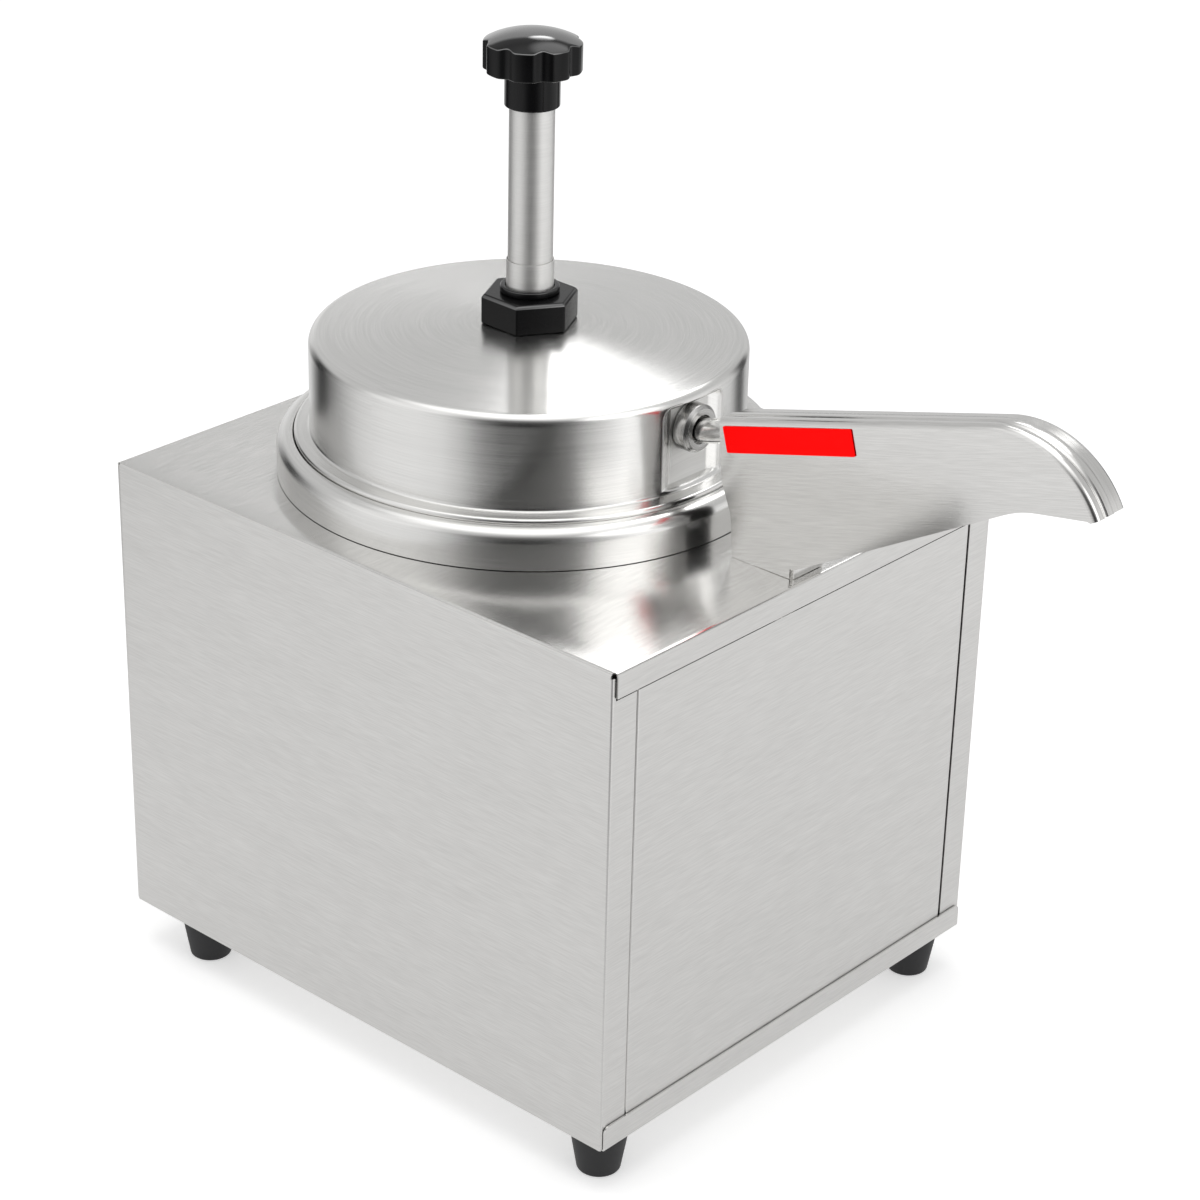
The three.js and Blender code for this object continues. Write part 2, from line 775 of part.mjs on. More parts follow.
// Pump lid: brim, side, shoulder and shallow crown, with a flat pad pressed into its front
const brimTop = brimHeight + lidWall;
const brimRoot = brimTop + brimSlopeRise;
const sideFoot = brimRoot + lidWall;
const shoulderZ = lidShoulderHeight - lidFillet;
const lidSkin = [
  [brimRadius, brimTop - brimDrop],
  [brimRadius, brimTop - brimEdge],
  [brimRadius - brimEdge, brimTop],
  [lidRadius + lidWall, brimRoot],
  [lidRadius, sideFoot],
  ...arc(lidRadius - lidFillet, shoulderZ, lidFillet, right, up, 3),
  [lidFlatRadius, lidCrownHeight],
];
const lidUnderside = [
  [lidFlatRadius, lidCrownHeight - lidWall],
  ...arc(lidRadius - lidFillet, shoulderZ, lidFillet - lidWall, up, right, 3),
  [lidRadius - lidWall, brimHeight],
  [brimRadius - lidWall, brimHeight],
  [brimRadius - lidWall, brimTop - brimDrop],
];
const lidShell = turned(
  [...lidSkin, [lidHoleRadius, lidCrownHeight], [lidHoleRadius, lidCrownHeight - lidWall], ...lidUnderside],
  lidSides,
);
const lidCore = turned(
  [
    [0, sideFoot],
    [lidRadius, sideFoot],
    ...arc(lidRadius - lidFillet, shoulderZ, lidFillet, right, up, 3),
    [0, lidShoulderHeight],
  ],
  lidSides,
);
const padOutline = (grow) => [
  [-padWidth / 2 - grow, padBottom],
  [padWidth / 2 + grow, padBottom],
  ...arc(padWidth / 2 - padCornerRadius, padTop - padCornerRadius, padCornerRadius + grow, right, up, 3),
  ...arc(padCornerRadius - padWidth / 2, padTop - padCornerRadius, padCornerRadius + grow, up, left, 3),
];
const padCup = common(lidCore, alongY(padOutline(lidWall), -lidRadius - overrun, -padBack));
const padHollow = alongY(padOutline(0), -lidRadius - overrun, -padDistance);
const fittingHole = alongY(ring(fittingHoleRadius, boreSides), -lidRadius, -padBack + overrun);
fittingHole.translate(0, 0, fittingHeight);
place(well, "pump_lid", cut(join(lidShell, padCup), padHollow, fittingHole), polishedSteel);

// Pump head, clamped to the lid by the gasket below and the nut above
const lidGasket = hoop(lidHoleRadius + seat, gasketRadius, [gasketTop - gasketThickness, gasketTop]);
place(well, "lid_gasket", turned(lidGasket, boreSides), whitePlastic);
const headOutline = [
  [headBore, neckTop],
  [neckRadius, neckTop],
  [neckRadius, headTop],
  [gasketRadius, headTop],
  [gasketRadius, headUnder],
  [headHubRadius, headUnder],
  [headHubRadius, headUnder - headHubLength],
  [cylinderOuter + seat, headUnder - headHubLength],
  [cylinderOuter + seat, headUnder - headSocketRoof],
  [headBore, headUnder - headSocketRoof],
];
place(well, "pump_head", turned(headOutline, boreSides), hiddenSteel);
const nutBore = neckRadius + seat;
const nutPrism = alongZ(ring(nutCornerRadius, 6), nutBottom, nutTop).rotateZ(nutTurn);
const nutCone = turned(
  [
    [0, nutBottom],
    [nutCornerRadius + nutChamfer, nutBottom],
    [nutCornerRadius + nutChamfer, nutTop - nutChamfer],
    [nutCornerRadius - nutChamfer, nutTop],
    [0, nutTop],
  ],
  footSides * 2,
);
const nutThread = alongZ(ring(nutBore, boreSides), nutBottom - overrun, nutTop - nutCapThickness);
const nutMouth = alongZ(ring(headBore, boreSides), nutBottom - overrun, nutTop + overrun);
place(well, "lid_lock_nut", cut(common(nutPrism, nutCone), nutThread, nutMouth), nutPlastic);
const wiperBottom = nutTop + seat;
const wiperOutline = [
  [headBore, wiperBottom],
  [wiperRadius, wiperBottom],
  [wiperRadius, wiperBottom + wiperHeight - wiperChamfer],
  [wiperRadius - wiperChamfer, wiperBottom + wiperHeight],
  [headBore, wiperBottom + wiperHeight],
];
place(well, "rod_wiper", turned(wiperOutline, boreSides), rubber);
place(well, "rod_guide", turned(hoop(guideInner, guideOuter, [guideBottom, guideTop]), boreSides), polishedSteel);

// Pump cylinder and the valve body on its lower end
const cylinderTube = hoop(cylinderBore, cylinderOuter, [cylinderBottom, cylinderTop]);
place(well, "pump_cylinder", turned(cylinderTube, boreSides), hiddenSteel);
const socketFloor = valveTop - valveSocketDepth;
const post = (radius, z, y, sides = footSides) => alongZ(ring(radius, sides), z[0], z[1]).translate(0, y, 0);
const ballPinHeight = socketFloor - ballPinDrop;
const ballPin = (radius, half) =>
  alongX(ring(radius, screwSides), -half, half).translate(0, 0, ballPinHeight);
const valveCasting = join(
  post(valveRadius, [valveBottom, valveTop], 0, boreSides),
  post(branchRadius, [branchBottom, valveTop], -branchOffset),
  block([-chamberRadius, chamberRadius], [-branchOffset, 0], [branchBottom, socketFloor]),
);
const valveBody = cut(
  valveCasting,
  post(cylinderOuter + seat, [socketFloor, valveTop + overrun], 0, boreSides),
  post(chamberRadius, [chamberFloor, socketFloor + overrun], 0),
  post(inletSeatRadius, [valveBottom - overrun, chamberFloor + overrun], 0),
  post(riserRadius + seat, [socketFloor, valveTop + overrun], -branchOffset),
  post(outletChamberRadius, [outletSeatHeight, socketFloor + overrun], -branchOffset),
  post(outletSeatRadius, [passageHeight, outletSeatHeight + overrun], -branchOffset),
  alongY(ring(passageRadius, tubeSides), -branchOffset, 0).translate(0, 0, passageHeight),
  ballPin(ballPinRadius + seat, valveRadius + overrun),
);
place(well, "valve_body", valveBody, hiddenSteel);
place(well, "ball_pin", ballPin(ballPinRadius, valveRadius - seat), polishedSteel);
const ballRest = (ball, hole) => Math.sqrt(ball * ball - hole * hole) + seat;
const sphere = (radius) => closed(new THREE.SphereGeometry(radius, 12, 8).rotateX(Math.PI / 2));
const inletBallHeight = chamberFloor + ballRest(inletBallRadius, inletSeatRadius);
const outletBallHeight = outletSeatHeight + ballRest(outletBallRadius, outletSeatRadius);
place(well, "inlet_ball", sphere(inletBallRadius), polishedSteel).position.set(0, 0, inletBallHeight);
place(well, "outlet_ball", sphere(outletBallRadius), polishedSteel).position.set(0, -branchOffset, outletBallHeight);

// Riser tube from the outlet valve up beside the cylinder and forward to the fitting
const riserTurnHeight = fittingHeight - riserBend;
const riserEnd = fittingFlangeFace - fittingFlangeThickness - seat;
const riserPoints = [
  [0, -branchOffset, socketFloor + seat],
  ...arc(-branchOffset - riserBend, riserTurnHeight, riserBend, right, up, 4).map(([y, z]) => [0, y, z]),
  [0, -riserEnd, fittingHeight],
];
place(well, "riser_tube", mitredPipe(riserPoints, riserRadius, riserBore, tubeSides), hiddenSteel);

// Discharge fitting through the pad, its gasket, and the union nut outside
const fittingOutline = [
  [riserRadius + seat, fittingFlangeFace - fittingFlangeThickness - fittingHubLength],
  [fittingHubRadius, fittingFlangeFace - fittingFlangeThickness - fittingHubLength],
  [fittingHubRadius, fittingFlangeFace - fittingFlangeThickness],
  [fittingFlangeRadius, fittingFlangeFace - fittingFlangeThickness],
  [fittingFlangeRadius, fittingFlangeFace],
  [fittingRadius, fittingFlangeFace],
  [fittingRadius, padDistance],
  [stubRadius, padDistance],
  [stubRadius, stubEnd],
  [tubeBore, stubEnd],
  [tubeBore, fittingFlangeFace - fittingFlangeThickness],
  [riserRadius + seat, fittingFlangeFace - fittingFlangeThickness],
];
const atFitting = (mesh) => mesh.position.set(0, 0, fittingHeight);
atFitting(place(well, "discharge_fitting", turnedAlongY(fittingOutline, boreSides, true), polishedSteel));
const fittingGasketY = [padBack - seat - fittingGasketThickness, padBack - seat];
const fittingGasket = hoop(fittingHoleRadius, fittingFlangeRadius, fittingGasketY);
atFitting(place(well, "fitting_gasket", turnedAlongY(fittingGasket, boreSides, true), whitePlastic));
const unionOutline = [
  [stubRadius + seat, unionStart],
  [unionRadius, unionStart],
  [unionRadius, unionEnd - unionChamfer],
  [unionRadius - unionChamfer, unionEnd],
  [tubeRadius + seat, unionEnd],
  [tubeRadius + seat, unionEnd - unionShoulder],
  [stubRadius + seat, unionEnd - unionShoulder],
];
atFitting(place(well, "union_nut", turnedAlongY(unionOutline, boreSides, true), polishedSteel));

// Shroud outline. The top line rises towards the front at a steady slope and turns down round the
// nose; an inset moves only that line, square to itself. Points are [y, z] from the cabinet's front
// face and the deck.
function shroudTop(inset, steps = 6) {
  const along = [-Math.cos(shroudRise), Math.sin(shroudRise)];
  const out = [Math.sin(shroudRise), Math.cos(shroudRise)];
  const rear = [shroudRearTopSetback - out[0] * inset, shroudRearTopHeight - out[1] * inset];
  const noseStart = [rear[0] + along[0] * shroudStraight, rear[1] + along[1] * shroudStraight];
  const radius = shroudNoseRadius - inset;
  const centre = [noseStart[0] - out[0] * radius, noseStart[1] - out[1] * radius];
  const nose = arc(...centre, radius, up - shroudRise, up - shroudRise + shroudNoseTurn, steps);
  return { rear, nose, centre, radius };
}

function shroudTipReach() {
  const { nose } = shroudTop(0);
  return -Math.min(...nose.map(([y]) => y));
}

// The rounded corner of the lower edge, between the toe's long slope and the lip
const toePoint = new THREE.Vector2(shroudToeSetback, shroudToeHeight + seat);
const mouthPoint = new THREE.Vector2(-shroudMouthReach, shroudMouthHeight);
const lipPoint = new THREE.Vector2(-shroudLipReach, shroudLipHeight);
const towards = (from, to, run) => to.clone().sub(from).setLength(run).add(from);
const mouthStart = towards(mouthPoint, toePoint, shroudMouthRound);
const mouthEnd = towards(mouthPoint, lipPoint, shroudMouthRound);
const mouthCorner = new THREE.QuadraticBezierCurve(mouthEnd, mouthPoint, mouthStart).getPoints(4);

function shroudSide(inset) {
  const { rear, nose } = shroudTop(inset);
  return [
    [shroudRearBottomSetback, seat],
    [shroudRearLowSetback, shroudRearLowHeight],
    [shroudRearMidSetback, shroudRearMidHeight],
    rear,
    ...nose,
    lipPoint.toArray(),
    ...mouthCorner.map((point) => point.toArray()),
    toePoint.toArray(),
    [shroudToeSetback + shroudToeNotch, shroudToeHeight + seat],
    [shroudToeSetback + shroudToeNotch, seat],
  ];
}

// The hollow inside the shroud: open behind, below and at the nose
function shroudHollow(inset) {
  const { rear, nose } = shroudTop(inset);
  const tip = nose[nose.length - 1];
  const tipWay = [Math.sin(shroudNoseTurn - shroudRise), Math.cos(shroudNoseTurn - shroudRise)];
  return [
    [shroudRearTopSetback + overrun, -overrun],
    [shroudRearTopSetback + overrun, rear[1] - overrun * Math.tan(shroudRise)],
    ...nose,
    [tip[0] - overrun * tipWay[1], tip[1] - overrun * tipWay[0]],
    [-shroudLipReach, 0],
    [0, -overrun],
  ];
}

// One outline repeated at several x, with its points moved between them, as a closed solid
function lofted(sections) {
  const count = sections[0].points.length;
  const positions = [];
  for (const { x, points } of sections) {
    for (const [y, z] of points) positions.push(x, y, z);
  }
  const index = [];
  for (let s = 0; s + 1 < sections.length; s += 1) {
    for (let i = 0; i < count; i += 1) {
      const [a, b] = [s * count + i, s * count + ((i + 1) % count)];
      index.push(a, b, b + count, a, b + count, a + count);
    }
  }
  const last = (sections.length - 1) * count;
  const flat = sections.map(({ points }) => points.map(([y, z]) => new THREE.Vector2(y, z)));
  for (const [a, b, c] of THREE.ShapeUtils.triangulateShape(flat[0], [])) index.push(a, c, b);
  for (const [a, b, c] of THREE.ShapeUtils.triangulateShape(flat[flat.length - 1], [])) {
    index.push(last + a, last + b, last + c);
  }
  const geometry = new THREE.BufferGeometry();
  geometry.setAttribute("position", new THREE.Float32BufferAttribute(positions, 3));
  geometry.setIndex(index);
  return closed(geometry);
}

// The outline swept across the shroud's width, its top edges rounded by the bend
function rounded(outline, half, bend, inset) {
  const steps = 3;
  const edge = [];
  for (let i = 0; i <= steps; i += 1) {
    const angle = (up * i) / steps;
    edge.push({ x: half - bend + bend * Math.cos(angle), drop: bend - bend * Math.sin(angle) });
  }
  const sections = [];
  for (const { x, drop } of edge) sections.push({ x: -x, points: outline(inset + drop) });
  for (const { x, drop } of edge.reverse()) sections.push({ x, points: outline(inset + drop) });
  return lofted(sections);
}

const shroudShell = (drop) =>
  cut(
    rounded(shroudSide, halfShroud, shroudBend, drop),
    rounded(shroudHollow, halfShroud - shroudSheet, shroudBend - shroudSheet, drop + shroudSheet),
  );
const everywhere = [-cabinetDepth, cabinetDepth];
const spout = new THREE.Group();
spout.position.z = cabinetHeight;
cabinet.add(spout);
const leftOfSeam = block([-cabinetWidth, shroudSeamOffset], everywhere, everywhere);
const rightOfSeam = block([shroudSeamOffset - shroudLap, cabinetWidth], everywhere, everywhere);
place(spout, "shroud_left", common(shroudShell(0), leftOfSeam), brushedSteel);
place(spout, "shroud_right", common(shroudShell(shroudSheet + seat), rightOfSeam), brushedSteel);

// Sloping floor of the shroud, up from the deck's front edge to the mouth
const floorHalf = halfShroud - shroudSheet - seat;
const floorAngle = Math.atan2(mouthStart.y - toePoint.y, toePoint.x - mouthStart.x);
const floorRise = shroudSheet / Math.cos(floorAngle);
const floorOutline = [
  [shroudToeSetback + seat, seat],
  [shroudToeSetback + seat + shroudSheet, seat],
  [shroudToeSetback + seat + shroudSheet, shroudToeHeight + floorRise],
  [shroudToeSetback, shroudToeHeight + seat + floorRise],
  [mouthStart.x, mouthStart.y + seat + floorRise],
  [mouthStart.x, mouthStart.y + seat],
  [shroudToeSetback + seat, shroudToeHeight + seat],
];
place(spout, "shroud_floor", alongX(floorOutline, -floorHalf, floorHalf), brushedSteel);

// Plain red strip on the shroud's left side, under its bend and in line with its top
const stripX = -halfShroud - seat;
const { rear: stripRear } = shroudTop(stripTopGap);
const stripAt = (run, drop) => [
  stripRear[0] - run * Math.cos(shroudRise) - drop * Math.sin(shroudRise),
  stripRear[1] + run * Math.sin(shroudRise) - drop * Math.cos(shroudRise),
];
const stripOutline = [
  stripAt(stripRearGap, 0),
  stripAt(stripRearGap + stripLength, 0),
  stripAt(stripRearGap + stripLength, stripWidth),
  stripAt(stripRearGap, stripWidth),
];
place(spout, "caution_strip", alongX(stripOutline, stripX - stripThickness, stripX), redFilm);

// Discharge tube: level out of the union nut, then along under the shroud's top and down at the nose
const tubeInset = shroudSheet + seat + shroudSheet + tubeToShroudGap + tubeRadius;
const tubeLine = shroudTop(tubeInset);
const tubeStart = wellSetback - tubeFlangeStart;
const noseSteps = 5;
const tubeNose = arc(
  ...tubeLine.centre,
  tubeLine.radius,
  up - shroudRise,
  up - shroudRise + tubeEndTurn,
  noseSteps,
);
const tubePoints = [
  [tubeStart, fittingHeight],
  [tubeStart - tubeLevelLength, fittingHeight],
  tubeLine.rear,
  ...tubeNose,
].map(([y, z]) => [0, y, z]);

// A round pipe through a list of points in one upright plane, its rings set square to the mean of
// the two runs that meet at each point
function mitredPipe(points, radius, bore, sides) {
  const path = points.map((p) => new THREE.Vector3(...p));
  const across = new THREE.Vector3(1, 0, 0);
  const positions = [];
  path.forEach((point, i) => {
    const back = point.clone().sub(path[Math.max(i - 1, 0)]).normalize();
    const ahead = path[Math.min(i + 1, path.length - 1)].clone().sub(point).normalize();
    const way = back.clone().add(ahead).normalize();
    const stretch = i > 0 && i + 1 < path.length ? 1 / way.dot(ahead) : 1;
    const square = new THREE.Vector3().crossVectors(way, across).normalize().multiplyScalar(stretch);
    for (const size of [radius, bore]) {
      for (let k = 0; k < sides; k += 1) {
        const angle = (2 * Math.PI * k) / sides;
        const ringPoint = point.clone();
        ringPoint.addScaledVector(across, size * Math.cos(angle));
        ringPoint.addScaledVector(square, size * Math.sin(angle));
        positions.push(ringPoint.x, ringPoint.y, ringPoint.z);
      }
    }
  });
  const index = [];
  const quad = (a, b, c, d) => index.push(a, b, c, a, c, d);
  const last = (path.length - 1) * 2 * sides;
  for (let k = 0; k < sides; k += 1) {
    const next = (k + 1) % sides;
    for (let i = 0; i + 1 < path.length; i += 1) {
      const [here, there] = [i * 2 * sides, (i + 1) * 2 * sides];
      quad(here + k, here + next, there + next, there + k);
      quad(here + sides + next, here + sides + k, there + sides + k, there + sides + next);
    }
    quad(next, k, sides + k, sides + next);
    quad(last + k, last + next, last + sides + next, last + sides + k);
  }
  const geometry = new THREE.BufferGeometry();
  geometry.setAttribute("position", new THREE.Float32BufferAttribute(positions, 3));
  geometry.setIndex(index);
  return closed(geometry);
}

const tubeCollar = turnedAlongY(
  hoop(tubeBore, tubeFlangeRadius, [-tubeStart, tubeFlangeThickness - tubeStart]),
  tubeSides,
  true,
).translate(0, 0, fittingHeight);
const tubePipe = mitredPipe(tubePoints, tubeRadius, tubeBore, tubeSides);
place(spout, "discharge_tube", cut(join(tubePipe, tubeCollar), tubeBoreCore()), polishedSteel);

function tubeBoreCore() {
  const core = alongY(ring(tubeBore, tubeSides), tubeStart - tubeLevelLength, tubeStart + overrun);
  return core.translate(0, 0, fittingHeight);
}

// Plunger: knob, hollow rod, piston with its seal, and the spring under it
const rodBottom = guideBottom;
const rodOutline = [
  [0, rodTop - rodPlug],
  [rodRadius - rodWall, rodTop - rodPlug],
  [rodRadius - rodWall, rodBottom],
  [rodRadius, rodBottom],
  [rodRadius, rodTop],
  [rodStudRadius, rodTop],
  [rodStudRadius, rodTop + rodStudLength],
  [0, rodTop + rodStudLength],
];
place(well, "plunger_rod", turned(rodOutline, boreSides), polishedSteel);
const grooveTop = pistonTop - (pistonHeight - sealHeight) / 2;
const pistonOutline = [
  [0, pistonTop + pistonSpigotHeight],
  [rodRadius - rodWall - seat, pistonTop + pistonSpigotHeight],
  [rodRadius - rodWall - seat, pistonTop],
  [pistonRadius, pistonTop],
  [pistonRadius, grooveTop],
  [pistonRadius - sealDepth, grooveTop],
  [pistonRadius - sealDepth, grooveTop - sealHeight],
  [pistonRadius, grooveTop - sealHeight],
  [pistonRadius, pistonBottom],
  [0, pistonBottom],
];
place(well, "piston", turned(pistonOutline, boreSides), whitePlastic);
const sealInner = pistonRadius - sealDepth + seat;
const sealRing = hoop(sealInner, cylinderBore - sealGap, [grooveTop - sealHeight + seat, grooveTop - seat]);
place(well, "piston_seal", turned(sealRing, boreSides), silicone);

class Helix extends THREE.Curve {
  constructor(radius, low, high, turns) {
    super();
    Object.assign(this, { radius, low, high, turns });
  }

  getPoint(t, target = new THREE.Vector3()) {
    const angle = 2 * Math.PI * this.turns * t;
    const height = this.low + (this.high - this.low) * t;
    return target.set(this.radius * Math.cos(angle), this.radius * Math.sin(angle), height);
  }
}
const springLow = socketFloor + seat + springWire / 2;
const springHigh = pistonBottom - seat - springWire / 2;
const coil = new Helix(springRadius, springLow, springHigh, springTurns);
const spring = pipe(coil, springWire / 2, { sides: 4, steps: springTurns * 6 });
place(well, "plunger_spring", spring, polishedSteel);

// Star knob: a rim scooped between its lobes, under one round crown, over a plain hub
const scoopShares = [-1, -1 / 2, 0, 1 / 2, 1];
function star() {
  const points = [];
  const pitch = (2 * Math.PI) / knobLobes;
  const halfScoop = knobScoopWidth / 2 / knobRadius;
  for (let lobe = 0; lobe < knobLobes; lobe += 1) {
    const middle = knobTurn + (lobe + 1 / 2) * pitch;
    const spots = scoopShares.map((share) => [middle + share * halfScoop, knobScoopDepth * (1 - share * share)]);
    for (const [angle, depth] of [...spots, [middle + pitch / 2, 0]]) {
      points.push([(knobRadius - depth) * Math.cos(angle), (knobRadius - depth) * Math.sin(angle)]);
    }
  }
  return points;
}
const knobTop = knobRimBottom + knobRimHeight;
const crownShares = [1, 2 / 3, 1 / 3, 0];
const knobCap = turned(
  [
    [0, knobRimBottom],
    [knobRadius - knobRimRound / 2, knobRimBottom],
    [knobRadius + seat, knobRimBottom + knobRimRound / 2 + seat],
    [knobRadius + seat, knobTop - knobRimRound - seat],
    [knobRadius - knobRimRound / 3, knobTop - knobRimRound / 3],
    ...crownShares.map((share) => [(knobRadius - knobRimRound) * share, knobTop + knobDomeHeight * (1 - share * share)]),
  ],
  knobSides,
);
const knobRim = common(alongZ(star(), knobRimBottom - overrun, knobTop + knobDomeHeight + overrun), knobCap);
const knobHub = turned(
  [
    [0, knobHubBottom],
    [knobHubRadius - knobRimRound / 2, knobHubBottom],
    [knobHubRadius, knobHubBottom + knobRimRound / 2],
    [knobHubRadius, knobRimBottom + knobRimRound],
    [0, knobRimBottom + knobRimRound],
  ],
  boreSides,
);
const knobBores = [
  post(rodRadius + seat, [knobHubBottom - overrun, rodTop + seat], 0, boreSides),
  post(rodStudRadius + seat, [knobHubBottom, rodTop + rodStudLength + seat], 0, boreSides),
];
place(well, "star_knob", cut(join(knobRim, knobHub), ...knobBores), blackPlastic);

// Rear controls: thermostat, its dial and its bulb under the pan
const atDial = (mesh) => mesh.position.set(dialOffset, 0, dialHeight);
const thermostatBack = panelBack - seat - thermostatDepth;
const thermostatOutline = [
  [0, thermostatBack],
  [thermostatRadius, thermostatBack],
  [thermostatRadius, panelBack - seat],
  [shaftRadius, panelBack - seat],
  [shaftRadius, dialFace + dialBoreDepth - seat],
  [0, dialFace + dialBoreDepth - seat],
];
atDial(place(cabinet, "thermostat_body", turnedAlongY(thermostatOutline, boreSides), whitePlastic));
const dialOutline = [
  [0, dialFace + dialBoreDepth],
  [shaftRadius + seat, dialFace + dialBoreDepth],
  [shaftRadius + seat, dialFace],
  [dialRadius, dialFace],
  [dialRadius, dialFace + dialSkirtDepth / 2],
  [dialGripRadius, dialFace + dialSkirtDepth],
  [dialGripRadius - knobRimRound, dialFace + dialDepth],
  [0, dialFace + dialDepth],
];
atDial(place(cabinet, "thermostat_dial", turnedAlongY(dialOutline, boreSides), blackPlastic));

const panUnder = cabinetHeight - panDepth;
const bulbHeight = panUnder - seat - bulbRadius;
const bulbY = wellSetback + bulbOffset;
const bulb = alongX(ring(bulbRadius, screwSides), -bulbLength / 2, bulbLength / 2).translate(0, bulbY, bulbHeight);
const capillaryEnd = [dialOffset, thermostatBack - seat - capillaryRadius, dialHeight - thermostatRadius / 2];
const capillaryPath = smooth([
  [bulbLength / 2 - bulbRadius, bulbY, bulbHeight],
  [bulbLength / 2 + wireSag, bulbY, bulbHeight - bulbRadius],
  [dialOffset - wireSag / 2, bulbY + wireSag, bulbHeight],
  [dialOffset + wireSag / 2, thermostatBack - wireSag, bulbHeight + wireSag],
  [dialOffset, thermostatBack - wireSag, dialHeight - thermostatRadius],
  capillaryEnd,
]);
const capillary = pipe(capillaryPath, capillaryRadius, { sides: 5, steps: 18 });
place(cabinet, "thermostat_bulb", join(bulb, capillary), copper);

// Rocker switch: a housing with a bezel, and the rocker in its window
const rockerY = cabinetDepth;
const switchBack = panelBack - switchDepth;
const switchCentre = (half, y) => block([-half[0], half[0]], y, [-half[1], half[1]]);
const housingHalf = [bezelWidth / 2 - bezelWall, bezelHeight / 2 - bezelWall];
const windowHalf = housingHalf.map((half) => half - bezelWall / 2);
const housing = cut(
  join(
    switchCentre([bezelWidth / 2, bezelHeight / 2], [cabinetDepth + seat, cabinetDepth + bezelThickness]),
    switchCentre(housingHalf, [switchBack, cabinetDepth + bezelThickness / 2]),
  ),
  switchCentre(windowHalf, [rockerY - rockerBack - bezelThickness - bezelWall, cabinetDepth + overrun]),
);
place(cabinet, "switch_housing", housing, blackPlastic).position.set(switchOffset, 0, switchHeight);
const rockerHalf = windowHalf[0] - rockerClearance;
const rockerOutline = [
  [-rockerBack, -rockerLength / 2 + rockerClearance],
  [rockerCrest, -rockerLength / 2],
  [rockerDip, 0],
  [rockerCrest, rockerLength / 2],
  [-rockerBack, rockerLength / 2 - rockerClearance],
];
const rocker = alongX(rockerOutline, -rockerHalf, rockerHalf).rotateX(-rockerRest);
place(cabinet, "switch_rocker", rocker, redFilm).position.set(switchOffset, rockerY, switchHeight);

// Indicator lamp and cord gland
const lampOutline = [
  [0, panelBack - lampDepth],
  [lampRadius, panelBack - lampDepth],
  [lampRadius, cabinetDepth + seat],
  [lampBezelRadius, cabinetDepth + seat],
  [lampBezelRadius, cabinetDepth + bezelThickness],
  [lampRadius, cabinetDepth + bezelThickness],
  [lampRadius / 2, cabinetDepth + lampStandOut],
  [0, cabinetDepth + lampStandOut],
];
const lamp = place(cabinet, "indicator_lamp", turnedAlongY(lampOutline, footSides), lampPlastic);
lamp.position.set(switchOffset, 0, lampHeight);
const glandOutline = [
  [glandBore, cabinetDepth - glandThreadLength],
  [glandThreadRadius, cabinetDepth - glandThreadLength],
  [glandThreadRadius, cabinetDepth + seat],
  [glandRadius, cabinetDepth + seat],
  [glandRadius, cabinetDepth + glandStandOut / 2],
  [glandThreadRadius, cabinetDepth + glandStandOut],
  [glandBore, cabinetDepth + glandStandOut],
];
const gland = place(cabinet, "cord_gland", turnedAlongY(glandOutline, footSides), nutPlastic);
gland.position.set(switchOffset, 0, glandHeight);

// Terminal block on the base tray
const blockY = [cabinetDepth - terminalSetback - terminalDepth, cabinetDepth - terminalSetback];
const blockTop = sheet + seat + terminalHeight;
const terminalBlock = block(
  [terminalOffset - terminalLength / 2, terminalOffset + terminalLength / 2],
  blockY,
  [sheet + seat, blockTop],
);
place(cabinet, "terminal_block", terminalBlock, whitePlastic);

